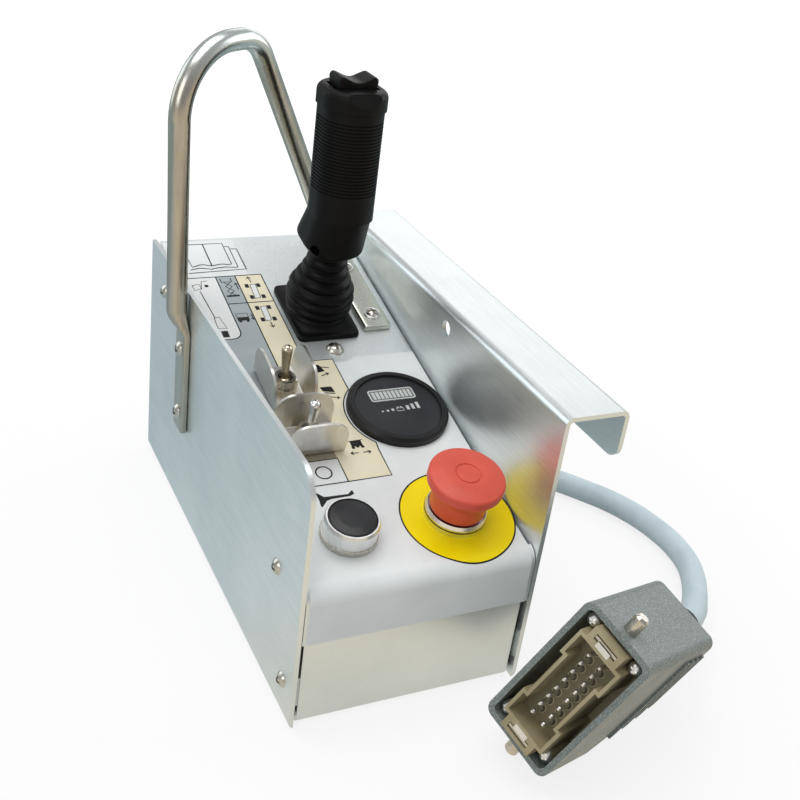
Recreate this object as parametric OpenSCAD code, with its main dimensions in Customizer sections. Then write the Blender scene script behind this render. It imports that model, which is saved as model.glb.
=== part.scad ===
// Platform control box: folded sheet chassis with a rail hook, sloping control panel,
// joystick, guarded toggles, gauge, emergency stop, horn button, carrying hoop and plug lead.
// Millimetres, +Z up, front at -Y, rail hook at +X, origin at the centre of the base.

/* [Chassis] */
// Outer width over the two side walls
box_w = 132; // [128:1:150]
// Outer depth of the side walls
box_d = 280; // [272:1:310]
// Height of the left side wall
left_h = 150; // [142:1:165]
// Thickness of the chassis sheet
sheet_t = 2.5; // [2:0.25:3]
// Inside radius of the chassis bends
bend_r = 2; // [1.5:0.25:3]
// Radius of the left wall's upper front corner
corner_r = 16; // [8:1:24]
// Height of the front apron
apron_h = 72; // [62:1:74]
// Height of the hook's top face
hook_h = 164; // [158:1:180]
// Diameter of the guard rail that the hook hangs on
rail_d = 32; // [28:0.5:38]
// Room between the rail and the hook
rail_clear = 0.5; // [0.3:0.1:2]
// Length of the hook's outer lip, from the top face down
hook_drop = 29; // [22:1:40]
// Radius of the hook lip's lower corners
hook_corner_r = 8; // [4:1:12]
// Diameter of the rail bolt hole
rail_hole_d = 9.5; // [6:0.5:11]
// Place of the rail bolt hole along the wall
rail_hole_y = -13; // [-60:1:60]
// Rail bolt hole below the hook's top face
rail_hole_drop = 13; // [11:0.5:18]

/* [Control panel] */
// Thickness of the panel sheet
lid_t = 2; // [1.5:0.25:2.5]
// Height of the panel's front edge
lid_front_h = 83.5; // [78:0.5:90]
// Panel's rear edge below the left wall's top
lid_rear_drop = 1.4; // [1:0.1:4]
// Gap between the panel and each side wall
lid_gap = 0.4; // [0.3:0.1:1]
// Height of the front lip's lower edge
lip_low = 53.5; // [48:0.5:58]
// Outside radius of the bend at the front lip
lip_r = 9; // [6:0.5:12]
// Depth of the side tabs that carry the panel screws
tab_h = 20; // [18:0.5:24]
// Length of each side tab
tab_l = 34; // [26:1:36]
// Front and rear panel screws, measured up the slope
tab_front_u = 31; // [29:1:40]
// Rear panel screws, measured back from the panel's rear edge
tab_rear_back = 34; // [28:1:44]
// Panel screws below the panel's top face
tab_screw_drop = 13.2; // [11:0.2:15]
// Thickness of the printed film
film_t = 0.25; // [0.2:0.05:0.4]

/* [Emergency stop] */
// Place across the panel
estop_x = 30.5; // [26:0.5:36]
// Place up the slope
estop_u = 34.5; // [33:0.5:42]
// Diameter of the mushroom
mushroom_d = 40.5; // [36:0.5:44]
// Height of the mushroom's top
mushroom_h = 31; // [28:0.5:36]
// Travel of the mushroom
estop_travel = 4; // [3:0.5:4.5]
// Diameter of the chrome collar
collar_d = 33.2; // [33:0.1:36]

/* [Horn button] */
// Place across the panel
horn_x = -30; // [-36:0.5:-26]
// Place up the slope
horn_u = 32.5; // [31:0.5:40]
// Diameter of the bezel
horn_d = 28.8; // [28:0.2:32]
// Height of the bezel
horn_h = 13; // [12:0.5:15]
// Travel of the cap
horn_travel = 3; // [2:0.5:3.5]

/* [Gauge] */
// Place across the panel
gauge_x = 30.6; // [27:0.1:31]
// Place up the slope
gauge_u = 114; // [110:0.5:118]
// Diameter of the bezel
gauge_d = 58.5; // [56:0.5:60]
// Height of the bezel
gauge_h = 5.5; // [5:0.5:8]
// Diameter of the case behind the panel
gauge_case_d = 52; // [48:0.5:53]
// Depth of the case behind the panel
gauge_case_h = 34; // [28:1:40]

/* [Toggles] */
// Place of both toggles across the panel
toggle_x = -28.5; // [-31:0.5:-25]
// Rear toggle, up the slope
rear_toggle_u = 141.5; // [138:0.5:146]
// Front toggle, up the slope
front_toggle_u = 100; // [97:0.5:104]
// Diameter of the threaded bushing
bushing_d = 12; // [11.5:0.1:12.5]
// Height of the lever's pivot over the panel
toggle_pivot_h = 5; // [4.8:0.1:5.6]
// Length of the lever from its pivot to the tip's centre
lever_l = 21; // [18:0.5:24]
// Lean of the rear lever where it rests
rear_lean = 11; // [8:1:13]
// Width of a guard across its two ears
guard_w = 23.5; // [23:0.5:28]
// Length of a guard along its ears
guard_l = 35; // [31:0.5:37]
// Height of the guard's ears
guard_h = 23; // [20:0.5:26]
// Thickness of the guard's sheet
guard_t = 1.5; // [1:0.1:2]

/* [Joystick] */
// Place across the panel
stick_x = 14; // [10:0.5:16]
// Place measured back from the panel's rear edge
stick_back = 81.3; // [78:0.5:84]
// Width and length of the boot's flange
boot_w = 39; // [36:0.5:42]
boot_l = 52; // [48:0.5:54]
// Height of the boot
boot_h = 49.7; // [46:0.1:54]
// Diameter of the lever shaft
shaft_d = 10; // [8:0.5:11]
// Pivot below the panel's top face
pivot_drop = 9; // [8.5:0.5:12]
// Length of the grip's leaning neck
neck_l = 22; // [18:1:26]
// Length of the upright ribbed part of the grip
barrel_l = 62; // [58:1:66]
// Radius of the grip's rounded sides
grip_r = 17.5; // [16:0.5:18.5]
// How much deeper than wide the grip is
grip_stretch = 6; // [4:0.5:8]
// Height of the grip's cap
cap_h = 11; // [10.5:0.5:15]
// Pitch of the grip's ribs
rib_pitch = 1.9; // [1.6:0.1:3]

/* [Hoop handle] */
// Diameter of the tube
tube_d = 12; // [11:0.5:13]
// Width of the flattened feet
foot_w = 17.5; // [16:0.5:19]
// Thickness of the flattened feet
foot_t = 4; // [3:0.5:5]
// Left foot's centre line, measured from the rear
hoop_back = 80; // [74:1:90]
// Height of the tube's centre at the top
hoop_h = 288; // [280:1:310]
// Right foot's centre line, measured in from the right wall
hoop_foot_in = 19.2; // [17:0.2:21]

/* [Lead and plug] */
// Diameter of the cable
cable_d = 15; // [13:0.5:15]
// Length of the plug hood's mouth
hood_l = 84; // [82:1:88]
// Width of the plug hood's mouth
hood_s = 44; // [43:0.5:46]
// Depth of the plug hood at its deep end
hood_depth = 78; // [76:1:80]
// Depth of the plug hood at its shallow end
hood_low = 37; // [36:1:44]
// Wall of the plug hood
hood_wall = 3.2; // [2.5:0.1:3.4]
// Pitch of the contact pins
pin_pitch = 6.2; // [5:0.1:6.4]
// Distance between the two rows of pins
pin_rows = 8; // [7:0.5:9]

/* [Hidden] */
$fn = 48;
// Running clearance of pins and stems, and the gap between pieces that move past each other
run = 0.05;
gap = 0.3;

bend_o = bend_r + sheet_t;
hook_reach = rail_d + rail_clear + sheet_t;
front_y = -box_d / 2;
rear_y = box_d / 2;
wall_in = box_w / 2 - sheet_t;
slope = atan((left_h - lid_rear_drop - lid_front_h) / (box_d - sheet_t));
lid_w = 2 * (wall_in - lid_gap);
lid_len = (box_d - gap) / cos(slope) - lid_t * tan(slope);
lid_bend_i = 1.5;
lid_bend_o = lid_bend_i + lid_t;
lip_turn = 90 - slope;
lip_tangent = lip_r * tan(lip_turn / 2);
// The apron stands just behind the lip, the rear wall just under the panel
apron_y = front_y + lid_t + lid_gap;
apron_in = bend_o + 0.5;
rear_h = lid_front_h + (box_d - 2 * sheet_t) * tan(slope) - (lid_t + gap) / cos(slope);
apron_tab_gap = gap;
apron_tab_l = 22;
apron_tab_z = [12, 30];
notch = 1.5;

// Screws and nuts
wall_screw_d = 5;
wall_head_d = 9;
wall_head_h = 2.6;
wall_screw_l = 10;
nut_af = 8;
nut_h = 4;
hole_room = 0.3;
tab_us = [tab_front_u, lid_len - tab_rear_back];
foot_screw_z = [72, 114];
foot_bottom_z = 61;
foot_top_z = 124;
foot_round_z = 140;
hoop_foot_x = box_w / 2 - hoop_foot_in;
hoop_y = rear_y - hoop_back;
// Right foot along the panel, measured back from the panel's rear edge
hoop_corner_back = 9;
hoop_screw_backs = [91, 43.5];
hoop_foot_back = 102.5;
hoop_flat_back = 35;
hoop_corner_u = lid_len - hoop_corner_back;
hoop_foot_us = [for (b = hoop_screw_backs) lid_len - b];
hoop_foot_front = lid_len - hoop_foot_back;
hoop_flat_u = lid_len - hoop_flat_back;
hoop_bends = [38, 22, 15];

// Threaded barrels of the two push buttons
barrel_r = 11;
barrel_low = 22;
button_nut_h = 5;
button_nut_r = 14.5;
block_size = [30, 40, 30];
estop_stem_r = 6;
collar_h = 7;
collar_floor = 2.5;
skirt_r = 15;
skirt_low = collar_floor + estop_travel + 1;
horn_stem_r = 5;
horn_floor = 4;
horn_lip = 1.6;
horn_cap_low = horn_floor + horn_travel + 1;

// Toggles
lever_ball_r = 3.9;
lever_neck_r = 1.8;
lever_tip_r = 3.1;
bushing_h = 10;
switch_size = [17, 28, 24];
toggle_nut_af = 15;
toggle_nut_h = 3;
guard_bend_i = 1;
guard_corner_r = 12;
guard_lean = 3.4;

// Joystick
stick_u = lid_len - stick_back;
stick_screw_u = 34.6;
grip_low = boot_h + gap;
neck_top = grip_low + neck_l;
pivot_d = 6;
hub_d = 16;
hub_l = 25;
cheek_in = hub_l / 2 + gap;
cheek_t = 4;
base_l = 46;
base_low = 40;
base_flange_t = 3;
stick_hole = [26, 34];
shaft_top = neck_top - 2;
shaft_tail = 14;
boot_flange_t = 3;
boot_low_r = 19;
boot_swell = 1.5;
boot_top_r = 11.7;
boot_wall = 1.6;
boot_folds = 7;
boot_fold_depth = 2;
split_y = 5;
rib_low = 16;
rib_end = 6;
// The grip stands a little to the right of its shaft
grip_side = 2;
rib_depth = 0.7;
cap_r = grip_r + 1;
cap_groove = 0.4;
cap_round = 4;
trigger_w = 12;
trigger_side = 0.4;
trigger_pin_d = 3;
trigger_pin_z = barrel_l - 13;
trigger_in = 13;
trigger_out = 7.5;
trigger_low = 4;
trigger_floor = 7;
rear_skin = grip_r + grip_stretch / 2;
grip_seat = grip_r - 6;
rocker_w = 23.5;
rocker_d = 16;
rocker_pin_d = 3;
rocker_pin_drop = 2.5;
rocker_room = 1.2;
rocker_pocket = 8;

// Cable gland on the right wall
gland_y = 54;
gland_z = 24;
gland_stub_r = 10;
gland_af = 27;
gland_hex_l = 8;
gland_nut_l = 20;
gland_nut_r = 13;
gland_bore_r = cable_d / 2 + 0.1;

// The cable's middle line, from inside the wall gland over the floor to the plug gland
cable_route = [
    [60, 54, 24], [94, 54, 24], [108, 54, 22.5], [125, 53, 18], [145, 49, 12], [165, 40, 8.5],
    [180, 28, 7.6], [190, 17, 7.6], [200, 4, 7.6], [212, -14, 7.6], [221, -36, 7.6], [225, -60, 7.6],
    [224, -77, 7.8], [219.5, -92, 8.8], [211.5, -106.5, 10.5], [201, -120.5, 13.5], [189.5, -133.5, 18],
    [176, -147, 25]
];
cable_sides = 12;

// The plug leans on its shallow end: middle of its mouth, and its turn
plug_at = [45.2, -206.6, 55.1];
plug_turn = [-47.6, 62.9, 152.7];
hood_corner_r = 5;
hood_back = 6;
hood_chamfer = 2;
hood_rib = 1.4;
// The sloping back starts here and runs up to the shallow end; its wall is this thick
hood_slant_x = -2;
hood_slant = atan((hood_depth - hood_low) / (hood_l / 2 - hood_slant_x));
hood_slant_wall = 4;
plug_gland_x = -19;
peg_r = 3.75;
peg_l = 10;
peg_z = -9;
insert_floor = -9;
insert_screw_l = 8;
insert_flange = -26;
insert_flange_t = 4;
insert_post_d = 7;
insert_post_top = -4;
insert_slot = 3.2;
insert_top = 5;
insert_wall = 1.8;
insert_step = [16, 28];
insert_long = [60, 23];
insert_end = [7, 20];
pin_r = 1.25;
pin_l = 9.5;
earth_l = 10.3;
earth_top = 4.4;
pin_count = 8;
insert_screw_x = hood_l / 2 - hood_wall - 5;
insert_screw_y = hood_s / 2 - hood_wall - 4.2;
plug_gland_l = 30;

// Terminal strip on the bottom
strip_size = [22, 90, 16];
strip_y = 10;
strip_screw_in = 6;

// Frames: a point on the panel, the joystick, the upright grip and the plug
module on_lid(x, u, h = 0)
    translate([x, front_y + u * cos(slope), lid_front_h + u * sin(slope)])
        rotate([slope, 0, 0]) translate([0, 0, h]) children();

module on_stick(h = 0) on_lid(stick_x, stick_u, h) children();

module on_grip(z = 0)
    on_stick(neck_top) rotate([-slope, 0, 0]) translate([grip_side, 0, z]) children();

module on_plug() translate(plug_at) rotate(plug_turn) children();

// Extrusions of a profile drawn in (y, z) along X, and of one drawn in (x, z) along Y
module along_x(len) rotate([90, 0, 90]) linear_extrude(height = len, center = true) children();

module along_y(len) rotate([90, 0, 0]) linear_extrude(height = len, center = true) children();

module round_rect(size, r) {
    square([size[0] - 2 * r, size[1]], center = true);
    square([size[0], size[1] - 2 * r], center = true);
    for (sx = [-1, 1], sy = [-1, 1])
        translate([sx * (size[0] / 2 - r), sy * (size[1] / 2 - r)]) circle(r);
}

// Quarter of a sheet bend about the origin, in the first quadrant
module quarter_bend(r_in, r_out)
    intersection() {
        difference() {
            circle(r_out);
            circle(r_in);
        }
        square(r_out);
    }

// What a rounded corner leaves outside it: corner at the origin, the solid towards +x and +y
module corner_waste(r)
    difference() {
        translate([-1, -1]) square(r + 1);
        translate([r, r]) circle(r);
    }

// Stadium outline of the grip: two circles apart along y
module stadium(r, stretch) {
    for (s = [-1, 1]) translate([0, s * stretch / 2]) circle(r);
    square([2 * r, stretch], center = true);
}

// Screw with a pan head and cross recess: head seat at z = 0, shank downwards
module pan_screw(d, len, head_d, head_h) {
    dome_r = (head_d * head_d / 4 + head_h * head_h) / (2 * head_h);
    difference() {
        intersection() {
            cylinder(d = head_d, h = head_h);
            translate([0, 0, head_h - dome_r]) sphere(dome_r);
        }
        for (a = [0, 90])
            rotate(a) translate([-head_d * 0.28, -head_d * 0.06, head_h * 0.45])
                cube([head_d * 0.56, head_d * 0.12, head_h]);
    }
    translate([0, 0, -len]) cylinder(d = d, h = len);
}

// Hexagon nut standing on z = 0
module hex_nut(af, h, bore_d)
    difference() {
        cylinder(d = af / cos(30), h = h, $fn = 6);
        translate([0, 0, -1]) cylinder(d = bore_d, h = h + 2);
    }

function unit(v) = v / norm(v);

// Direction of a row of points at point i
function along(p, i) =
    i == 0 ? unit(p[1] - p[0]) :
    i == len(p) - 1 ? unit(p[i] - p[i - 1]) :
    unit(unit(p[i] - p[i - 1]) + unit(p[i + 1] - p[i]));

// Closed skin over a row of rings with the same number of points
module skin(rings) {
    m = len(rings);
    n = len(rings[0]);
    polyhedron(
        [for (g = rings) each g],
        concat(
            [[for (j = [0 : n - 1]) j]],
            [for (i = [0 : m - 2], j = [0 : n - 1])
                each [
                    [i * n + j, (i + 1) * n + j, (i + 1) * n + (j + 1) % n],
                    [i * n + j, (i + 1) * n + (j + 1) % n, i * n + (j + 1) % n]
                ]],
            [[for (j = [n - 1 : -1 : 0]) (m - 1) * n + j]]
        )
    );
}

// Places on the left wall's outer face (side = -1) or the right wall's (side = 1)
module on_wall(side, y, z) translate([side * box_w / 2, y, z]) rotate([0, side * 90, 0]) children();

function tab_y(u) = front_y + u * cos(slope) + tab_screw_drop * sin(slope);
function tab_z(u) = lid_front_h + u * sin(slope) - tab_screw_drop * cos(slope);
corner_screw_y = apron_y + apron_tab_l - 10;
corner_screw_z = (apron_tab_z[0] + apron_tab_z[1]) / 2;

module wall_screw_places()
    for (side = [-1, 1]) {
        for (u = tab_us) on_wall(side, tab_y(u), tab_z(u)) children();
        on_wall(side, corner_screw_y, corner_screw_z) children();
    }

// Folded chassis
module chassis_profile() {
    hw = box_w / 2;
    translate([-hw, bend_o]) square([sheet_t, left_h - bend_o]);
    translate([-hw + bend_o, bend_o]) rotate(180) quarter_bend(bend_r, bend_o);
    translate([-hw + bend_o, 0]) square([box_w - 2 * bend_o, sheet_t]);
    translate([hw - bend_o, bend_o]) rotate(270) quarter_bend(bend_r, bend_o);
    translate([wall_in, bend_o]) square([sheet_t, hook_h - 2 * bend_o]);
    translate([hw + bend_r, hook_h - bend_o]) rotate(90) quarter_bend(bend_r, bend_o);
    translate([hw + bend_r, hook_h - sheet_t]) square([hook_reach - bend_r - bend_o, sheet_t]);
    translate([hw + hook_reach - bend_o, hook_h - bend_o]) quarter_bend(bend_r, bend_o);
    translate([hw + hook_reach - sheet_t, hook_h - hook_drop]) square([sheet_t, hook_drop - bend_o]);
}

// Upright end wall, folded up from the bottom; drawn at y = 0, its outer face towards -y
module end_wall(height) {
    len = box_w - 2 * apron_in;
    along_x(len) {
        translate([bend_o, bend_o]) rotate(180) quarter_bend(bend_r, bend_o);
        translate([0, bend_o]) square([sheet_t, height - bend_o]);
    }
}

// Side tab of the apron, turned back along the wall
module apron_tab() {
    x0 = -wall_in + apron_tab_gap;
    translate([0, 0, apron_tab_z[0]]) linear_extrude(apron_tab_z[1] - apron_tab_z[0]) {
        translate([x0 + bend_o, bend_o]) rotate(180) quarter_bend(bend_r, bend_o);
        translate([x0, bend_o]) square([sheet_t, apron_tab_l - bend_o]);
        translate([x0 + bend_o, 0]) square([apron_in, sheet_t]);
    }
}

module chassis()
    color("lightsteelblue") difference() {
        union() {
            difference() {
                along_y(box_d) chassis_profile();
                // Room for the bends of the two end walls, with relief notches at their ends
                for (e = [[front_y - 1, apron_y + bend_o], [rear_y - bend_o, rear_y + 1]]) {
                    translate([-wall_in, e[0], -1]) cube([2 * wall_in, e[1] - e[0], bend_o + 1]);
                    for (side = [-1, 1])
                        translate([side * (wall_in - apron_in / 2 + sheet_t / 2), (e[0] + e[1]) / 2, 0])
                            cube([apron_in - sheet_t, e[1] - e[0] + 2 * notch, 2 * bend_o], center = true);
                }
            }
            translate([0, apron_y, 0]) {
                end_wall(apron_h);
                apron_tab();
                mirror([1, 0, 0]) apron_tab();
            }
            translate([0, rear_y, 0]) mirror([0, 1, 0]) end_wall(rear_h);
        }
        // Rounded front corner of the left wall, rounded lower corners of the hook's lip
        translate([-box_w / 2, front_y, left_h]) along_x(4 * sheet_t) mirror([0, 1]) corner_waste(corner_r);
        for (s = [0, 1]) mirror([0, s, 0])
            translate([box_w / 2 + hook_reach, front_y, hook_h - hook_drop])
                along_x(2 * bend_o - 0.2) corner_waste(hook_corner_r);
        // Holes: rail bolt, gland, wall screws, hoop screws
        on_wall(1, rail_hole_y, hook_h - rail_hole_drop)
            cylinder(d = rail_hole_d, h = 4 * sheet_t, center = true);
        on_wall(1, gland_y, gland_z) cylinder(r = gland_stub_r + hole_room, h = 4 * sheet_t, center = true);
        wall_screw_places() cylinder(d = wall_screw_d + hole_room, h = 6 * sheet_t, center = true);
        for (z = foot_screw_z)
            on_wall(-1, hoop_y, z) cylinder(d = wall_screw_d + hole_room, h = 4 * sheet_t, center = true);
    }

// Sloping panel, drawn flat with u along y: top, front lip and four side tabs
lip_l = lid_front_h - lip_r * (1 - sin(slope)) / cos(slope) - lip_low;
lip_lap = 0.5;

// Lip bend and lip in (u, h); the layer lies between r_in and r_out about the bend's middle
module lip_profile(r_in, r_out)
    translate([lip_tangent, -lip_r]) {
        intersection() {
            difference() {
                circle(r_out);
                circle(r_in);
            }
            polygon([
                [0, 0], 3 * lip_r * [sin(lip_lap), cos(lip_lap)], 3 * lip_r * [-0.6, 0.8],
                3 * lip_r * [-sin(lip_turn + lip_lap), cos(lip_turn + lip_lap)]
            ]);
        }
        rotate(lip_turn) translate([-lip_l, r_in]) square([lip_l + 0.05, r_out - r_in]);
    }

module panel_holes(h) {
    on_lid(gauge_x, gauge_u) cylinder(d = gauge_case_d + 2 * hole_room, h = h, center = true);
    for (c = [[estop_x, estop_u], [horn_x, horn_u]])
        on_lid(c[0], c[1]) cylinder(r = barrel_r + hole_room, h = h, center = true);
    for (u = [rear_toggle_u, front_toggle_u])
        on_lid(toggle_x, u) cylinder(d = bushing_d + 2 * hole_room, h = h, center = true);
}

module control_panel()
    color("gainsboro") difference() {
        on_lid(0, 0) difference() {
            union() {
                along_x(lid_w) lip_profile(lip_r - lid_t, lip_r);
                translate([0, (lip_tangent + lid_len) / 2, 0]) along_y(lid_len - lip_tangent) {
                    translate([-lid_w / 2 + lid_bend_o, -lid_t]) square([lid_w - 2 * lid_bend_o, lid_t]);
                    for (side = [0, 1]) mirror([side, 0]) {
                        translate([-lid_w / 2 + lid_bend_o, -lid_bend_o]) rotate(90)
                            quarter_bend(lid_bend_i, lid_bend_o);
                        translate([-lid_w / 2, -tab_h]) square([lid_t, tab_h - lid_bend_o]);
                    }
                }
            }
            // What is cut away of the two flanges leaves the four tabs
            for (span = [[lip_tangent - 1, tab_us[0] - tab_l / 2],
                         [tab_us[0] + tab_l / 2, tab_us[1] - tab_l / 2],
                         [tab_us[1] + tab_l / 2, lid_len + 1]], side = [-1, 1])
                translate([side * lid_w / 2, (span[0] + span[1]) / 2, -lid_bend_o - tab_h])
                    cube([4 * lid_t, span[1] - span[0], 2 * tab_h], center = true);
        }
        panel_holes(6 * lid_t);
        on_stick() cube([stick_hole[0], stick_hole[1], 6 * lid_t], center = true);
        for (s = [-1, 1])
            on_lid(stick_x, stick_u + s * stick_screw_u)
                cylinder(d = wall_screw_d + hole_room, h = 6 * lid_t, center = true);
        for (u = hoop_foot_us)
            on_lid(hoop_foot_x, u) cylinder(d = wall_screw_d + hole_room, h = 6 * lid_t, center = true);
        wall_screw_places() cylinder(d = wall_screw_d + hole_room, h = 8 * sheet_t, center = true);
    }

// Printed film: the whole front of the panel, wrapped down the lip, and a strip along the left
film_side = lid_w / 2 - 2;
film_cross_u = 162.5;
film_strip_x = -8;
film_top_x = -16;
film_top_u = lid_len - 2.5;
film_strip_u = lid_len - 42;
film_jog_x = 8;

module panel_film()
    color("whitesmoke") difference() {
        on_lid(0, 0) {
            along_x(2 * film_side) lip_profile(lip_r, lip_r + film_t);
            linear_extrude(film_t) {
                translate([-film_side, lip_tangent])
                    square([film_strip_x + film_side, film_strip_u - lip_tangent]);
                translate([-film_side, lip_tangent]) square([2 * film_side, film_cross_u - lip_tangent]);
                translate([-film_side, lip_tangent])
                    square([film_top_x + film_side, film_top_u - lip_tangent]);
            }
        }
        panel_holes(6 * lid_t);
        on_lid(stick_x, stick_u - stick_screw_u) cylinder(r = film_jog_x + 4, h = 6 * lid_t, center = true);
    }

module wall_screws()
    color("silver") {
        for (side = [-1, 1]) {
            for (u = tab_us)
                on_wall(side, tab_y(u), tab_z(u))
                    pan_screw(wall_screw_d, wall_screw_l, wall_head_d, wall_head_h);
            on_wall(side, corner_screw_y, corner_screw_z)
                pan_screw(wall_screw_d, wall_screw_l, wall_head_d, wall_head_h);
        }
    }

module panel_nuts()
    color("silver") {
        for (side = [-1, 1]) {
            for (u = tab_us)
                on_wall(side, tab_y(u), tab_z(u))
                    translate([0, 0, -sheet_t - lid_gap - lid_t - nut_h])
                        hex_nut(nut_af, nut_h, wall_screw_d + 2 * run);
            on_wall(side, corner_screw_y, corner_screw_z)
                translate([0, 0, -2 * sheet_t - apron_tab_gap - nut_h])
                    hex_nut(nut_af, nut_h, wall_screw_d + 2 * run);
        }
    }

// Carrying hoop of bent tube with flattened ends
function lid_point(x, u, h) =
    [x, front_y + u * cos(slope) - h * sin(slope), lid_front_h + u * sin(slope) + h * cos(slope)];

hoop_leg_x = -box_w / 2 - tube_d / 2 - gap;
hoop_corners = [
    [hoop_leg_x, hoop_y, foot_round_z],
    [hoop_leg_x - 3.5, hoop_y - 2, hoop_h],
    [hoop_leg_x + 47.3, hoop_y + 28, hoop_h],
    lid_point(hoop_foot_x, hoop_corner_u, tube_d / 2),
    lid_point(hoop_foot_x, hoop_flat_u + 10, tube_d / 2)
];

// Points of the arc of radius r that rounds corner i of p, in n steps
function arc_points(p, i, r, n) =
    let (
        v0 = unit(p[i] - p[i - 1]),
        v1 = unit(p[i + 1] - p[i]),
        turn = acos(v0 * v1),
        side = unit(v1 - v0 * (v0 * v1)),
        start = p[i] - v0 * r * tan(turn / 2)
    )
        [for (k = [0 : n]) let (a = turn * k / n) start + r * sin(a) * v0 + r * (1 - cos(a)) * side];

function ease(t) = t * t * (3 - 2 * t);
foot_steps = [for (k = [0 : 5]) ease(k / 5)];

// Rings of the bar: [middle, wide direction, 0 = flat foot to 1 = round tube]
hoop_normal = unit(cross(hoop_corners[2] - hoop_corners[1], [0, 0, -1]));
hoop_rings = concat(
    [[[-box_w / 2 - foot_t / 2, hoop_y, foot_bottom_z], [0, 1, 0], 0]],
    [for (k = [0 : 5])
        [[-box_w / 2 - foot_t / 2 + foot_steps[k] * (hoop_leg_x + (box_w + foot_t) / 2), hoop_y,
          foot_top_z + (foot_round_z - foot_top_z) * k / 5], [0, 1, 0], foot_steps[k]]],
    [for (c = arc_points(hoop_corners, 1, hoop_bends[0], 10)) [c, hoop_normal, 1]],
    [for (c = arc_points(hoop_corners, 2, hoop_bends[1], 8)) [c, hoop_normal, 1]],
    [for (k = [0 : 10])
        [arc_points(hoop_corners, 3, hoop_bends[2], 10)[k], unit(hoop_normal * (10 - k) + [-k, 0, 0]), 1]],
    [for (k = [5 : -1 : 0])
        [lid_point(hoop_foot_x, hoop_flat_u + 2 * k, foot_t / 2 + foot_steps[k] * (tube_d - foot_t) / 2),
         [-1, 0, 0], foot_steps[k]]],
    [[lid_point(hoop_foot_x, hoop_foot_front, foot_t / 2), [-1, 0, 0], 0]]
);
hoop_middles = [for (g = hoop_rings) g[0]];

// Section between a flat rounded strip and a circle: a superellipse whose power and axes ease over
function swell(c, q) = sign(c) * pow(abs(c), q);
function hoop_ring(i, n) =
    let (
        g = hoop_rings[i],
        t = along(hoop_middles, i),
        e1 = unit(g[1] - t * (g[1] * t)),
        e2 = cross(t, e1),
        b = foot_w / 2 + g[2] * (tube_d - foot_w) / 2,
        a = foot_t / 2 + g[2] * (tube_d - foot_t) / 2,
        q = 0.25 + 0.75 * g[2]
    )
        [for (j = [0 : n - 1])
            g[0] + b * swell(cos(360 * j / n), q) * e1 + a * swell(sin(360 * j / n), q) * e2];

module hoop_handle()
    color("silver") difference() {
        skin([for (i = [0 : len(hoop_rings) - 1]) hoop_ring(i, 24)]);
        for (z = foot_screw_z)
            on_wall(-1, hoop_y, z) cylinder(d = wall_screw_d + hole_room, h = 4 * foot_t, center = true);
        for (u = hoop_foot_us)
            on_lid(hoop_foot_x, u) cylinder(d = wall_screw_d + hole_room, h = 4 * foot_t, center = true);
    }

module hoop_side_screws()
    color("silver") {
        for (z = foot_screw_z)
            on_wall(-1, hoop_y, z) translate([0, 0, foot_t])
                pan_screw(wall_screw_d, foot_t + sheet_t + nut_h + 1, wall_head_d + 1, wall_head_h);
    }

module hoop_panel_screws()
    color("silver") {
        for (u = hoop_foot_us)
            on_lid(hoop_foot_x, u, foot_t)
                pan_screw(wall_screw_d, foot_t + lid_t + nut_h + 1, wall_head_d + 1, wall_head_h);
    }

module hoop_nuts()
    color("silver") {
        for (z = foot_screw_z)
            on_wall(-1, hoop_y, z) translate([0, 0, -sheet_t - nut_h])
                hex_nut(nut_af, nut_h, wall_screw_d + 2 * run);
        for (u = hoop_foot_us)
            on_lid(hoop_foot_x, u, -lid_t - nut_h) hex_nut(nut_af, nut_h, wall_screw_d + 2 * run);
    }

// Joystick base under the panel, with the pivot between its cheeks
module joystick_base()
    color("dimgray") on_stick() difference() {
        union() {
            translate([0, 0, -lid_t - base_flange_t]) linear_extrude(base_flange_t)
                round_rect([2 * (cheek_in + cheek_t), 2 * stick_screw_u + 14], 5);
            translate([0, 0, -base_low]) linear_extrude(base_low - lid_t)
                round_rect([2 * (cheek_in + cheek_t), base_l], 3);
        }
        translate([-cheek_in, cheek_t - base_l / 2, cheek_t - base_low])
            cube([2 * cheek_in, base_l - 2 * cheek_t, base_low]);
        translate([0, 0, -pivot_drop]) rotate([0, 90, 0])
            cylinder(d = pivot_d, h = 4 * hub_l, center = true);
        for (s = [-1, 1]) translate([0, s * stick_screw_u, -base_low])
            cylinder(d = wall_screw_d, h = base_low);
    }

module joystick_pivot_pin()
    color("silver") on_stick(-pivot_drop) rotate([0, 90, 0])
        cylinder(d = pivot_d, h = 2 * (cheek_in + cheek_t), center = true);

module joystick_screws()
    color("silver") {
        for (s = [-1, 1])
            on_lid(stick_x, stick_u + s * stick_screw_u)
                pan_screw(wall_screw_d, lid_t + base_flange_t, wall_head_d + 2, wall_head_h + 1);
    }

// Rubber boot: flange and folded bellows, open inside for the shaft
function boot_r(t) =
    boot_low_r + boot_swell * sin(180 * min(1, t / 0.6))
    + (boot_top_r - boot_low_r) * ease(max(0, min(1, (t - 0.32) / 0.64)));
fold_steps = 2 * boot_folds;
boot_outside = [
    for (i = [0 : fold_steps])
        let (t = i / fold_steps)
            [boot_r(t) - (i % 2) * boot_fold_depth, boot_flange_t + t * (boot_h - boot_flange_t - 3)]
];

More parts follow.
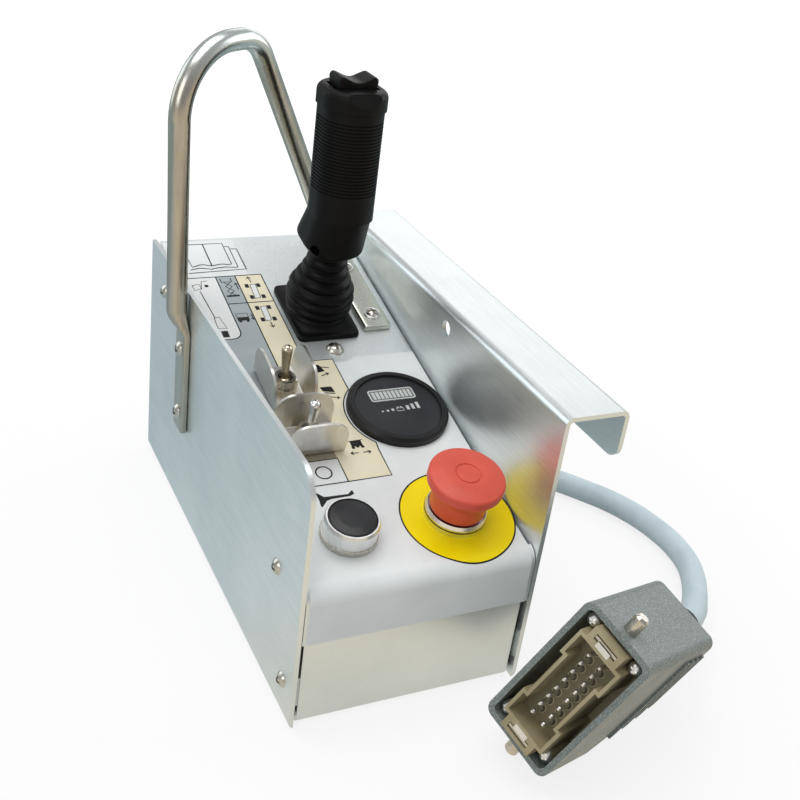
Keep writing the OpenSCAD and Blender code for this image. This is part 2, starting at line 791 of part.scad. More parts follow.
module joystick_boot()
    color([0.1, 0.1, 0.1]) on_stick() {
        difference() {
            linear_extrude(boot_flange_t) round_rect([boot_w, boot_l], 4);
            translate([0, 0, -1]) cylinder(r = boot_low_r - 2 * boot_wall, h = boot_flange_t + 2);
        }
        rotate_extrude() polygon(concat(
            boot_outside,
            [[boot_top_r, boot_h], [shaft_d / 2 + gap, boot_h], [shaft_d / 2 + gap, boot_h - 3]],
            [for (i = [fold_steps : -1 : 0]) [max(shaft_d / 2 + gap, boot_outside[i][0] - boot_wall),
                                               boot_outside[i][1]]]
        ));
    }

module joystick_shaft()
    color("silver") on_stick() difference() {
        union() {
            translate([0, 0, -pivot_drop]) rotate([0, 90, 0]) cylinder(d = hub_d, h = hub_l, center = true);
            translate([0, 0, -pivot_drop]) cylinder(d = shaft_d, h = pivot_drop + shaft_top);
            translate([0, 0, -pivot_drop - shaft_tail]) cylinder(d = shaft_d, h = shaft_tail);
        }
        translate([0, 0, -pivot_drop]) rotate([0, 90, 0])
            cylinder(d = pivot_d + 2 * run, h = 2 * hub_l, center = true);
    }

// Grip: leaning neck, upright ribbed barrel, split into a front and a rear shell
module grip_solid() {
    on_grip() linear_extrude(barrel_l) stadium(grip_r, grip_stretch);
    hull() {
        on_stick(grip_low) translate([0, 2, 0])
            linear_extrude(0.1) stadium(grip_r - 2.5, grip_stretch, $fn = 64);
        on_stick(grip_low + 3.5) translate([0.3, 2.5, 0])
            linear_extrude(0.1) stadium(grip_r + 0.6, grip_stretch + 2, $fn = 64);
        on_grip(3) linear_extrude(0.5) stadium(grip_r - 0.6, grip_stretch, $fn = 64);
    }
}

// Everything in front of the split between the two shells
module front_half() on_grip() translate([-50, split_y - 100, -neck_l - 20]) cube([100, 100, 200]);

module shaft_bore() on_stick(grip_low - 1) cylinder(d = shaft_d + 2 * run, h = shaft_top - grip_low + 1);

module grip_front_shell()
    color([0.13, 0.13, 0.13]) difference() {
        intersection() {
            grip_solid();
            front_half();
        }
        shaft_bore();
        for (z = [rib_low : rib_pitch : barrel_l - rib_end])
            on_grip(z) linear_extrude(rib_pitch / 2) difference() {
                stadium(grip_r + 2, grip_stretch);
                stadium(grip_r - rib_depth, grip_stretch);
            }
        grip_screw_place() translate([0, 0, -8]) cylinder(d = 3.1, h = 20);
        grip_screw_place() cylinder(d = 6.4, h = 20);
    }

module grip_rear_shell()
    color([0.16, 0.16, 0.16]) difference() {
        grip_solid();
        front_half();
        shaft_bore();
        on_grip() {
            translate([-trigger_w / 2 - trigger_side, trigger_floor, trigger_low - 1])
                cube([trigger_w + 2 * trigger_side, 50, trigger_pin_z - trigger_low + 7]);
            translate([0, trigger_in + 3, trigger_pin_z]) rotate([0, 90, 0])
                cylinder(d = trigger_pin_d, h = 20, center = true);
        }
    }

module grip_screw_place()
    on_stick(grip_low + 5) rotate([90, 0, -52]) translate([0, 0, grip_seat]) children();

module grip_screw()
    color("silver") grip_screw_place() pan_screw(3, grip_seat - shaft_d / 2 - run, 6, 2);

// Cap with a rounded edge, a facet towards the operator and a pocket for the rocker
cap_edge = [
    for (a = [0 : 15 : 90])
        [cap_r - cap_round * (1 - cos(a)), cap_h - cap_round * (1 - sin(a))]
];

module grip_cap()
    color([0.12, 0.12, 0.12]) on_grip(barrel_l) difference() {
        union() {
            linear_extrude(cap_groove + 1) stadium(grip_r - 1, grip_stretch);
            for (s = [-1, 1]) translate([0, s * grip_stretch / 2, 0])
                rotate_extrude()
                    polygon(concat([[0, cap_groove], [cap_r, cap_groove]], cap_edge, [[0, cap_h]]));
            along_y(grip_stretch)
                polygon(concat([[-cap_r, cap_groove], [cap_r, cap_groove]], cap_edge,
                               [for (i = [len(cap_edge) - 1 : -1 : 0]) [-cap_edge[i][0], cap_edge[i][1]]]));
        }
        translate([0, -cap_r - grip_stretch / 2 + 2, cap_h]) rotate([55, 0, 0])
            translate([0, 0, cap_r / 2 - 2.2]) cube([3 * cap_r, 3 * cap_r, cap_r], center = true);
        translate([0, 0, cap_h - rocker_pocket / 2 + 1])
            cube([rocker_w + 2 * rocker_room, rocker_d + 2 * trigger_side, rocker_pocket + 2],
                 center = true);
        translate([0, 0, cap_h - rocker_pin_drop]) rotate([90, 0, 0])
            cylinder(d = rocker_pin_d, h = rocker_d + 8, center = true);
    }

module enable_trigger()
    color([0.1, 0.1, 0.1]) on_grip() difference() {
        along_x(trigger_w) {
            translate([trigger_in + 3, trigger_pin_z]) circle(4);
            polygon([
                [trigger_in, trigger_pin_z], [trigger_in, trigger_low + 6], [trigger_in + 3, trigger_low],
                [rear_skin + trigger_out, trigger_low], [rear_skin + trigger_out - 1, trigger_low + 8],
                [rear_skin + 3, trigger_low + 24], [rear_skin + 2.5, trigger_pin_z],
                [trigger_in + 3, trigger_pin_z + 4]
            ]);
        }
        translate([0, trigger_in + 3, trigger_pin_z]) rotate([0, 90, 0])
            cylinder(d = trigger_pin_d + 2 * run, h = 2 * trigger_w, center = true);
    }

module trigger_pin()
    color("silver") on_grip() translate([0, trigger_in + 3, trigger_pin_z]) rotate([0, 90, 0])
        cylinder(d = trigger_pin_d, h = 20, center = true);

// Thumb rocker with raised ends
module steer_rocker()
    color([0.15, 0.15, 0.15]) on_grip(barrel_l + cap_h - rocker_pin_drop) difference() {
        along_y(rocker_d)
            polygon([
                [-rocker_w / 2 + 1, -0.5], [-4, -3.2], [4, -3.2], [rocker_w / 2 - 1, -0.5],
                [rocker_w / 2, 7.2], [rocker_w / 2 - 0.8, 8.5], [rocker_w / 2 - 2.4, 9.1],
                [rocker_w / 2 - 4.2, 8.6], [2.4, 6], [0, 5.6], [-2.4, 6], [4.2 - rocker_w / 2, 8.6],
                [2.4 - rocker_w / 2, 9.1], [0.8 - rocker_w / 2, 8.5], [-rocker_w / 2, 7.2]
            ]);
        rotate([90, 0, 0]) cylinder(d = rocker_pin_d + 2 * run, h = 2 * rocker_d, center = true);
    }

module rocker_pin()
    color("silver") on_grip(barrel_l + cap_h - rocker_pin_drop) rotate([90, 0, 0])
        cylinder(d = rocker_pin_d, h = rocker_d + 8, center = true);

// Gauge: bezel and face over the panel, case and clamp under it
face_t = 1.3;
case_top = gauge_h - 1.5 - face_t;

module gauge_bezel()
    color([0.1, 0.1, 0.1]) on_lid(gauge_x, gauge_u) rotate_extrude() polygon([
        [gauge_case_d / 2 + run, film_t], [gauge_d / 2, film_t], [gauge_d / 2, gauge_h - 1.6],
        [gauge_d / 2 - 1.6, gauge_h], [gauge_case_d / 2 - 1, gauge_h],
        [gauge_case_d / 2 - 1.4, gauge_h - 1.5], [gauge_case_d / 2 + run, gauge_h - 1.5]
    ]);

module gauge_face()
    color([0.14, 0.14, 0.15]) on_lid(gauge_x, gauge_u, case_top)
        cylinder(d = gauge_case_d, h = face_t);

module gauge_case()
    color([0.2, 0.2, 0.2]) on_lid(gauge_x, gauge_u, -gauge_case_h)
        cylinder(d = gauge_case_d, h = gauge_case_h + case_top);

clamp_t = 2;
clamp_w = 14;
clamp_in = gauge_case_d / 2 + 3;

module gauge_clamp()
    color("silver") on_lid(gauge_x, gauge_u, -gauge_case_h) {
        translate([-clamp_w / 2, -clamp_in - clamp_t, -clamp_t])
            cube([clamp_w, 2 * (clamp_in + clamp_t), clamp_t]);
        for (s = [-1, 1])
            translate([-clamp_w / 2, s * (clamp_in + clamp_t / 2) - clamp_t / 2, -clamp_t])
                cube([clamp_w, clamp_t, gauge_case_h - lid_t + clamp_t]);
        translate([0, 0, -clamp_t - nut_h]) cylinder(d = nut_af / cos(30), h = nut_h, $fn = 6);
    }

// Push button parts under the panel
module barrel(bore_r, top)
    translate([0, 0, -barrel_low]) difference() {
        cylinder(r = barrel_r, h = barrel_low + top);
        translate([0, 0, -1]) cylinder(r = bore_r, h = barrel_low + top + 2);
    }

module button_nut()
    translate([0, 0, -lid_t - button_nut_h]) difference() {
        cylinder(r = button_nut_r, h = button_nut_h, $fn = 12);
        translate([0, 0, -1]) cylinder(r = barrel_r + run, h = button_nut_h + 2);
    }

module contact_block()
    translate([0, 0, -barrel_low - block_size[2]]) {
        linear_extrude(block_size[2]) round_rect([block_size[0], block_size[1]], 2);
        for (s = [-1, 1])
            translate([0, s * (block_size[1] / 2 - 5), -3]) cylinder(d = 6, h = 3);
    }

module estop_collar()
    color("silver") on_lid(estop_x, estop_u) {
        barrel(estop_stem_r + run, collar_floor);
        rotate_extrude() polygon([
            [barrel_r - 1, film_t], [collar_d / 2, film_t], [collar_d / 2, collar_h - 2],
            [collar_d / 2 - 0.8, collar_h], [skirt_r + 2 * gap, collar_h],
            [skirt_r + 2 * gap, collar_floor], [barrel_r - 1, collar_floor]
        ]);
    }

module estop_nut() color("silver") on_lid(estop_x, estop_u) button_nut();

module estop_contact_block() color("seagreen") on_lid(estop_x, estop_u) contact_block();

module estop_mushroom()
    color([0.85, 0.3, 0.25]) on_lid(estop_x, estop_u) difference() {
        rotate_extrude() polygon(concat(
            [[0, skirt_low], [skirt_r, skirt_low], [skirt_r + 0.3, mushroom_h - 13.5],
             [mushroom_d / 2 - 2, mushroom_h - 8.5], [mushroom_d / 2, mushroom_h - 6.7],
             [mushroom_d / 2, mushroom_h - 4.5]],
            [for (a = [10 : 10 : 70]) [mushroom_d / 2 - 3 + 3 * cos(a), mushroom_h - 4.5 + 3 * sin(a)]],
            [[mushroom_d * 0.3, mushroom_h - 0.8], [mushroom_d * 0.15, mushroom_h - 0.2], [0, mushroom_h]]
        ));
        translate([0, 0, skirt_low - 1]) cylinder(r = estop_stem_r, h = mushroom_h - 14 - skirt_low + 1);
    }

module estop_stem()
    color("dimgray") on_lid(estop_x, estop_u, estop_travel - barrel_low + 1)
        cylinder(r = estop_stem_r, h = mushroom_h - 14 - (estop_travel - barrel_low + 1));

module horn_bezel()
    color("silver") on_lid(horn_x, horn_u) {
        barrel(horn_stem_r + run, horn_floor);
        rotate_extrude() polygon([
            [barrel_r - 1, film_t], [horn_d / 2, film_t], [horn_d / 2, horn_h - 1.5],
            [horn_d / 2 - 0.8, horn_h], [horn_d / 2 - horn_lip, horn_h],
            [horn_d / 2 - horn_lip, horn_floor], [barrel_r - 1, horn_floor]
        ]);
    }

module horn_nut() color("silver") on_lid(horn_x, horn_u) button_nut();

module horn_contact_block() color("seagreen") on_lid(horn_x, horn_u) contact_block();

module horn_cap()
    color([0.15, 0.15, 0.15]) on_lid(horn_x, horn_u) difference() {
        rotate_extrude() polygon([
            [0, horn_cap_low], [horn_d / 2 - horn_lip - gap, horn_cap_low],
            [horn_d / 2 - horn_lip - gap, horn_h - 0.6], [horn_d / 2 - horn_lip - gap - 1, horn_h],
            [horn_d / 4, horn_h + 0.5], [0, horn_h + 0.7]
        ]);
        translate([0, 0, horn_cap_low - 1]) cylinder(r = horn_stem_r, h = 3);
    }

module horn_plunger()
    color("dimgray") on_lid(horn_x, horn_u, horn_travel - barrel_low + 1)
        cylinder(r = horn_stem_r, h = horn_cap_low + 2 - (horn_travel - barrel_low + 1));

// Toggle switches: drawn with the lever swinging along y
module toggle_body() {
    translate([0, 0, -lid_t - switch_size[2]]) linear_extrude(switch_size[2])
        round_rect([switch_size[0], switch_size[1]], 1);
    for (s = [-1, 0, 1])
        translate([-3, s * 9 - 0.5, -lid_t - switch_size[2] - 8]) cube([6, 1, 8]);
    difference() {
        translate([0, 0, -lid_t]) cylinder(d = bushing_d, h = bushing_h + lid_t);
        translate([0, 0, toggle_pivot_h - lever_ball_r - gap])
            cylinder(r = lever_ball_r + gap, h = 2 * bushing_h);
    }
}

module toggle_nut()
    translate([0, 0, film_t + guard_t]) hex_nut(toggle_nut_af, toggle_nut_h, bushing_d + 2 * run);

module toggle_lever(lean)
    translate([0, 0, toggle_pivot_h]) rotate([-lean, 0, 0]) {
        sphere(lever_ball_r);
        cylinder(r = lever_neck_r, h = bushing_h - toggle_pivot_h);
        translate([0, 0, bushing_h - toggle_pivot_h])
            cylinder(r1 = lever_neck_r, r2 = lever_tip_r, h = lever_l - bushing_h + toggle_pivot_h);
        translate([0, 0, lever_l]) sphere(lever_tip_r);
    }

// Guard folded from sheet: a base under the nut and two round-cornered ears
module toggle_guard()
    translate([0, 0, film_t]) difference() {
        o = guard_bend_i + guard_t;
        along_y(guard_l) for (s = [0, 1]) mirror([s, 0]) {
            square([guard_w / 2 - o, guard_t]);
            translate([guard_w / 2 - o, o]) rotate(270) quarter_bend(guard_bend_i, o);
            translate([guard_w / 2, o]) rotate(-guard_lean)
                translate([-guard_t, -guard_t / 4]) square([guard_t, guard_h - o + guard_t / 4]);
        }
        translate([0, 0, -1]) cylinder(d = bushing_d + 2 * run, h = 4 * guard_t);
        for (s = [0, 1]) mirror([0, s, 0])
            translate([0, -guard_l / 2, guard_h]) along_x(2 * guard_w)
                mirror([0, 1]) corner_waste(guard_corner_r);
    }

module rear_toggle_body() color("dimgray") on_lid(toggle_x, rear_toggle_u) toggle_body();

module rear_toggle_nut() color("silver") on_lid(toggle_x, rear_toggle_u) toggle_nut();

module rear_toggle_guard() color("lightgray") on_lid(toggle_x, rear_toggle_u) toggle_guard();

module rear_toggle_lever() color("silver") on_lid(toggle_x, rear_toggle_u) toggle_lever(rear_lean);

module front_toggle_body() color("dimgray") on_lid(toggle_x, front_toggle_u) rotate(90) toggle_body();

module front_toggle_nut() color("silver") on_lid(toggle_x, front_toggle_u) toggle_nut();

module front_toggle_guard() color("lightgray") on_lid(toggle_x, front_toggle_u) rotate(90) toggle_guard();

module front_toggle_lever() color("silver") on_lid(toggle_x, front_toggle_u) toggle_lever(0);

// Terminal strip where the lead's cores meet the switches
module terminal_strip()
    color("beige") translate([0, strip_y, sheet_t]) difference() {
        translate([-strip_size[0] / 2, -strip_size[1] / 2, 0]) cube(strip_size);
        for (s = [-1, 1]) translate([0, s * (strip_size[1] / 2 - strip_screw_in), -1])
            cylinder(d = 4 + hole_room, h = strip_size[2] + 2);
        for (i = [-4 : 4], s = [-1, 1])
            translate([s * strip_size[0] / 2, i * 8, strip_size[2] * 0.6]) cube([8, 5, 6], center = true);
    }

module terminal_screws()
    color("silver") {
        for (s = [-1, 1])
            translate([0, strip_y + s * (strip_size[1] / 2 - strip_screw_in), sheet_t + strip_size[2]])
                pan_screw(4, strip_size[2], 8, 2.4);
    }

// Cable gland through the right wall
module cable_gland_body()
    color([0.3, 0.3, 0.3]) on_wall(1, gland_y, gland_z) difference() {
        union() {
            cylinder(d = gland_af / cos(30), h = gland_hex_l, $fn = 6);
            translate([0, 0, -sheet_t - 7]) cylinder(r = gland_stub_r, h = sheet_t + 8);
        }
        cylinder(r = gland_bore_r, h = 60, center = true);
    }

module dome_nut() {
    difference() {
        union() {
            cylinder(r = gland_nut_r, h = gland_nut_l - 6);
            translate([0, 0, gland_nut_l - 6])
                cylinder(r1 = gland_nut_r, r2 = gland_bore_r + 1.2, h = 6);
            for (a = [0 : 30 : 330])
                rotate(a) translate([gland_nut_r, 0, 1]) cylinder(r = 1, h = gland_nut_l - 9);
        }
        translate([0, 0, -1]) cylinder(r = gland_bore_r, h = gland_nut_l + 2);
    }
}

module cable_gland_nut()
    color([0.3, 0.3, 0.3]) on_wall(1, gland_y, gland_z) translate([0, 0, gland_hex_l]) dome_nut();

module cable_gland_locknut()
    color("silver") on_wall(1, gland_y, gland_z) translate([0, 0, -sheet_t - 5])
        hex_nut(26, 5, 2 * (gland_stub_r + run));

// Cable: a ring of points about each point of the route, carried along it
plug_back = plug_point([plug_gland_x, 0, -hood_depth]);
plug_gland_end = plug_point([plug_gland_x, 0, -hood_depth - plug_gland_l]);
hand_route = concat(cable_route, [plug_gland_end, plug_back + 0.2 * (plug_gland_end - plug_back)]);
last_hand = len(hand_route) - 1;

// Smooth curve through the points, three steps to each span, straight inside the two glands
function curve(p, i, t) =
    let (a = p[i - 1], b = p[i], c = p[i + 1], d = p[i + 2])
        0.5 * (2 * b + (c - a) * t + (2 * a - 5 * b + 4 * c - d) * t * t
               + (3 * b - a - 3 * c + d) * t * t * t);
full_route = concat(
    [hand_route[0]],
    [for (i = [1 : last_hand - 2], k = [0 : 2]) curve(hand_route, i, k / 3)],
    [hand_route[last_hand - 1], hand_route[last_hand]]
);

// A point of the plug's frame in the box's frame
function plug_point(p) =
    let (
        a = plug_turn[0], b = plug_turn[1], c = plug_turn[2],
        q = [p[0], p[1] * cos(a) - p[2] * sin(a), p[1] * sin(a) + p[2] * cos(a)],
        r = [q[0] * cos(b) + q[2] * sin(b), q[1], -q[0] * sin(b) + q[2] * cos(b)]
    )
        [r[0] * cos(c) - r[1] * sin(c), r[0] * sin(c) + r[1] * cos(c), r[2]] + plug_at;

function ring(p, i, r, n) =
    let (t = along(p, i), s = unit(cross([0, 0, 1], t)), w = cross(t, s))
        [for (j = [0 : n - 1]) p[i] + r * (cos(360 * j / n) * s + sin(360 * j / n) * w)];

module power_cable()
    color("lightsteelblue")
        skin([for (i = [0 : len(full_route) - 1]) ring(full_route, i, cable_d / 2, cable_sides)]);

// Plug: drawn with its mouth at z = 0 facing +z, long side along x
// Everything behind the hood's sloping back, moved in by a wall's thickness
module behind_slant(wall)
    along_y(2 * hood_s) translate([hood_l / 2, -hood_low]) rotate(hood_slant)
        translate([-hood_l, -hood_l]) square([2 * hood_l, hood_l + wall]);

module plug_hood()
    color([0.45, 0.46, 0.44]) on_plug() difference() {
        union() {
            translate([0, 0, -hood_depth + hood_chamfer]) linear_extrude(hood_depth - hood_chamfer)
                round_rect([hood_l, hood_s], hood_corner_r);
            translate([0, 0, -hood_depth]) linear_extrude(hood_chamfer + 1)
                round_rect([hood_l - 2 * hood_chamfer, hood_s - 2 * hood_chamfer],
                           hood_corner_r - hood_chamfer);
            for (s = [-1, 1], i = [0 : 3])
                translate([0, s * hood_s / 2, -hood_depth + 8 + 6 * i])
                    cube([hood_l - 16, 2 * hood_rib, 2.4], center = true);
        }
        difference() {
            translate([0, 0, hood_back - hood_depth]) linear_extrude(hood_depth)
                round_rect([hood_l - 2 * hood_wall, hood_s - 2 * hood_wall], hood_corner_r - 2);
            behind_slant(hood_slant_wall);
        }
        behind_slant(0);
        translate([plug_gland_x, 0, -hood_depth - 1])
            cylinder(r = gland_stub_r + hole_room, h = hood_back + 2);
    }

module plug_gland()
    color([0.3, 0.3, 0.3]) on_plug() translate([plug_gland_x, 0, -hood_depth]) rotate([180, 0, 0]) {
        difference() {
            union() {
                cylinder(d = gland_af / cos(30), h = plug_gland_l - gland_nut_l, $fn = 6);
                translate([0, 0, -hood_back - 4]) cylinder(r = gland_stub_r, h = hood_back + 5);
            }
            cylinder(r = gland_bore_r, h = 60, center = true);
        }
        translate([0, 0, plug_gland_l - gland_nut_l]) dome_nut();
    }

// Insert: a flange deep in the hood, four screw posts, and a tall body with wide ends
module insert_outline(grow) {
    for (s = [-1, 1]) translate([s * (insert_long[0] - insert_step[0]) / 2, 0])
        square([insert_step[0] + 2 * grow, insert_step[1] + 2 * grow], center = true);
    square([insert_long[0] + 2 * grow, insert_long[1] + 2 * grow], center = true);
}

module plug_insert()
    color([0.68, 0.64, 0.5]) on_plug() difference() {
        union() {
            translate([0, 0, insert_flange - insert_flange_t]) linear_extrude(insert_flange_t)
                round_rect([hood_l - 2 * hood_wall - gap, hood_s - 2 * hood_wall - gap], hood_corner_r - 2);
            for (sx = [-1, 1], sy = [-1, 1])
                translate([sx * insert_screw_x, sy * insert_screw_y, insert_flange - 1])
                    cylinder(d = insert_post_d, h = insert_post_top - insert_flange + 1);
            translate([0, 0, insert_flange - 1]) linear_extrude(insert_top - insert_flange + 1) {
                insert_outline(0);
                for (s = [-1, 1]) translate([s * (insert_long[0] + insert_end[0]) / 2, 0])
                    square(insert_end, center = true);
            }
        }
        translate([0, 0, insert_floor]) linear_extrude(insert_top - insert_floor + 1)
            insert_outline(-insert_wall);
        for (s = [-1, 1]) translate([s * (insert_long[0] + insert_end[0]) / 2, 0, 0])
            cube([insert_slot, insert_end[1] - 6, 2 * insert_top + 2], center = true);
        for (i = [0 : pin_count - 1], s = [-1, 1])
            translate([(i - (pin_count - 1) / 2) * pin_pitch, s * pin_rows / 2, insert_floor - 3])
                cylinder(r = pin_r, h = 10);
        for (sx = [-1, 1], sy = [-1, 1])
            translate([sx * insert_screw_x, sy * insert_screw_y, insert_post_top - insert_screw_l - 1])
                cylinder(d = 3, h = insert_screw_l + 2);
    }

module plug_pins()
    color("silver") on_plug()
        for (i = [0 : pin_count - 1], s = [-1, 1])
            translate([(i - (pin_count - 1) / 2) * pin_pitch, s * pin_rows / 2, insert_floor - 3]) {
                cylinder(r = pin_r, h = pin_l + 2.2);
                translate([0, 0, pin_l + 2.2]) cylinder(r1 = pin_r, r2 = pin_r / 2, h = 0.8);
            }

module plug_earth_contacts()
    color("silver") on_plug()
        for (s = [-1, 1])
            translate([s * (insert_long[0] + insert_end[0]) / 2, 0, earth_top - earth_l / 2])
                cube([1.4, insert_end[1] - 6.2, earth_l], center = true);

module plug_insert_screws()
    color("silver") on_plug()
        for (sx = [-1, 1], sy = [-1, 1])
            translate([sx * insert_screw_x, sy * insert_screw_y, insert_post_top])
                pan_screw(3, insert_screw_l, 7, 2.2);

module plug_locking_pegs()
    color("silver") on_plug()
        for (s = [-1, 1]) translate([s * hood_l / 2, 0, peg_z]) rotate([0, s * 90, 0]) {
            cylinder(r = peg_r, h = peg_l - 1.2);
            translate([0, 0, peg_l - 1.2]) cylinder(r1 = peg_r, r2 = peg_r - 1.2, h = 1.2);
        }

chassis();
control_panel();
panel_film();
wall_screws();
panel_nuts();
hoop_handle();
hoop_side_screws();
hoop_panel_screws();
hoop_nuts();
joystick_base();
joystick_pivot_pin();
joystick_screws();
joystick_boot();
joystick_shaft();
grip_front_shell();
grip_rear_shell();
grip_cap();
grip_screw();
enable_trigger();
trigger_pin();
steer_rocker();
rocker_pin();
gauge_bezel();
gauge_face();
gauge_case();
gauge_clamp();
estop_collar();
estop_nut();
estop_contact_block();
estop_mushroom();
estop_stem();
horn_bezel();
horn_nut();
horn_contact_block();
horn_cap();
horn_plunger();
rear_toggle_body();
rear_toggle_nut();
rear_toggle_guard();
rear_toggle_lever();
front_toggle_body();
front_toggle_nut();
front_toggle_guard();
front_toggle_lever();
terminal_strip();
terminal_screws();
cable_gland_body();
cable_gland_nut();
cable_gland_locknut();
power_cable();
plug_hood();
plug_gland();
plug_insert();
plug_pins();
plug_earth_contacts();
plug_insert_screws();
plug_locking_pegs();
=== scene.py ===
# %% [markdown]
# # A platform control box, dressed for its portrait
# The solid model of the box is already packed: every screw, switch and sheet stands in its place, in
# metres, with the origin in the middle of the box's bottom. This file adds what solids leave out: the
# finishes, the print on the panel, the soft curves of rubber and bent tube, the camera and the light.

import math

import bpy
import numpy as np
from mathutils import Matrix, Vector


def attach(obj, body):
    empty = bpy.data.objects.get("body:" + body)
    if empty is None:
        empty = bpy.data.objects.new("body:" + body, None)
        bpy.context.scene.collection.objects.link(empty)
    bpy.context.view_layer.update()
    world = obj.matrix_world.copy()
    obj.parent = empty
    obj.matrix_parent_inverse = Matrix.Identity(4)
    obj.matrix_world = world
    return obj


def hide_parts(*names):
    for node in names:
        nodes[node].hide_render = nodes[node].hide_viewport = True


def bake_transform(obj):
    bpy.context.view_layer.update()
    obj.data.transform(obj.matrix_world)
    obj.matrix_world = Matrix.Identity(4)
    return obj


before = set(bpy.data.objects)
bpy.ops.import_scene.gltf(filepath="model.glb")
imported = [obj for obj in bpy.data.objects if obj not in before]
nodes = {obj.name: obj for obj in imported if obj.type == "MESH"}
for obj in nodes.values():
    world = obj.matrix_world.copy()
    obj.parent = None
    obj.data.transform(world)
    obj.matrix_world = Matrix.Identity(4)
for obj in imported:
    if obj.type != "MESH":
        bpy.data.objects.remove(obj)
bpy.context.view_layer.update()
scene = bpy.context.scene
print(len(nodes), "solid pieces loaded")

# %% [markdown]
# ## The box's own measures
# The panel slopes up from the front. Controls are placed on it by x across, u up the slope and h above
# its face, so one small function turns such a place into the box's frame.

# %% Measures of the box and places on the panel
MM = 0.001
BOX_W, BOX_D, WALL_H = 132.0, 280.0, 150.0
SHEET_T, LID_T, FILM_T, GAP = 2.5, 2.0, 0.25, 0.3
LID_FRONT, LID_DROP = 83.5, 1.4
SLOPE = math.atan((WALL_H - LID_DROP - LID_FRONT) / (BOX_D - SHEET_T))
LID_LEN = (BOX_D - GAP) / math.cos(SLOPE) - LID_T * math.tan(SLOPE)
STICK = (14.0, LID_LEN - 81.3)
ESTOP, HORN, GAUGE = (30.5, 34.5), (-30.0, 32.5), (30.6, 114.0)


def on_panel(x, u, h):
    """Points of the panel's frame, in millimetres, as metres in the box's frame.

    y = -depth/2 + u cos(slope) - h sin(slope),  z = front + u sin(slope) + h cos(slope)
    """
    x, u, h = np.broadcast_arrays(*(np.asarray(v, float) for v in (x, u, h)))
    y = -BOX_D / 2 + u * math.cos(SLOPE) - h * math.sin(SLOPE)
    z = LID_FRONT + u * math.sin(SLOPE) + h * math.cos(SLOPE)
    return np.stack([x, y, z], axis=-1) * MM


print("panel slope", round(math.degrees(SLOPE), 2), "degrees")

# %% [markdown]
# ## Camera
# A product portrait is taken with a longer lens from above and to the left, so that both the panel and
# the side wall show. The camera is given by where it stands and its three axes, which is surer than
# pointing it at a target by hand.

# %% Camera at the portrait's place
SENSOR, FOCAL, PICTURE = 36.0, 1174.877, 800.0  # mm, then pixels
CAMERA_AT = (-0.2457, -0.5377, 0.4319)
CAMERA_RIGHT, CAMERA_AHEAD = (0.9012, -0.4158, 0.1222), (0.4206, 0.7713, -0.4777)
camera = bpy.data.objects.new("portrait_camera", bpy.data.cameras.new("portrait_camera"))
scene.collection.objects.link(camera)
camera.data.sensor_width = SENSOR
camera.data.sensor_fit = "HORIZONTAL"
camera.data.lens = SENSOR * FOCAL / PICTURE
right = Vector(CAMERA_RIGHT).normalized()
back = -Vector(CAMERA_AHEAD).normalized()
up = back.cross(right).normalized()
right = up.cross(back)
camera.matrix_world = Matrix((
    (right.x, up.x, back.x, CAMERA_AT[0]),
    (right.y, up.y, back.y, CAMERA_AT[1]),
    (right.z, up.z, back.z, CAMERA_AT[2]),
    (0, 0, 0, 1),
))
camera.data.clip_start = 0.01
scene.camera = camera
print("lens", round(camera.data.lens, 2), "mm")

# %% [markdown]
# ## Tools for surfaces
# Every new piece here is a grid of points bent into shape. One helper lists the quads of such a grid,
# another puts the arrays into a mesh, others close a tube's ends and smooth a path. Modelling by hand
# would do as well, but a formula can be read, changed and run again.

# %% Grids and meshes
def grid_quads(rows, cols, close_cols=True):
    """Quads of a rows x cols grid: corner (i, j) joins (i, j+1), (i+1, j+1) and (i+1, j)."""
    i, j = np.meshgrid(np.arange(rows - 1), np.arange(cols if close_cols else cols - 1), indexing="ij")
    k = (j + 1) % cols
    quads = [i * cols + j, i * cols + k, (i + 1) * cols + k, (i + 1) * cols + j]
    return np.stack(quads, -1).reshape(-1, 4)


def mesh_piece(name, points, faces, body, slot, finish=None, smooth=True):
    """A mesh object from an array of points and a list of faces, riding on one body."""
    mesh = bpy.data.meshes.new(name)
    mesh.from_pydata(np.asarray(points).reshape(-1, 3).tolist(), [], [list(map(int, f)) for f in faces])
    mesh.polygons.foreach_set("use_smooth", np.full(len(mesh.polygons), smooth))
    mesh.validate()
    piece = bpy.data.objects.new(name, mesh)
    scene.collection.objects.link(piece)
    if body:
        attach(piece, body)
    if finish:
        mesh.materials.append(finish)
    return piece


def capped(rings):
    """A closed skin over rings[i, j]: the grid's quads, and one fan point in the middle of each end."""
    rows, cols = rings.shape[:2]
    points = np.concatenate([rings.reshape(-1, 3), rings[:1].mean(1), rings[-1:].mean(1)])
    j = np.arange(cols)
    k = (j + 1) % cols
    end = (rows - 1) * cols
    first = np.stack([np.full(cols, rows * cols), k, j], -1)
    last = np.stack([np.full(cols, rows * cols + 1), end + j, end + k], -1)
    return points, [*grid_quads(rows, cols), *first, *last]


print("mesh tools ready")

# %% Turns, directions and smooth paths
def full_turn(sides):
    """Angles once around, so that the last stands one step before the first."""
    return np.linspace(0, 2 * np.pi, sides, endpoint=False)


def unit(v):
    """Vectors along the last axis, made one long."""
    return v / np.linalg.norm(v, axis=-1, keepdims=True)


def headings(path):
    """Direction of a path at each point: the middle of the two unit steps that meet there."""
    steps = unit(np.diff(path, axis=0))
    return unit(np.concatenate([steps[:1], steps[:-1] + steps[1:], steps[-1:]]))


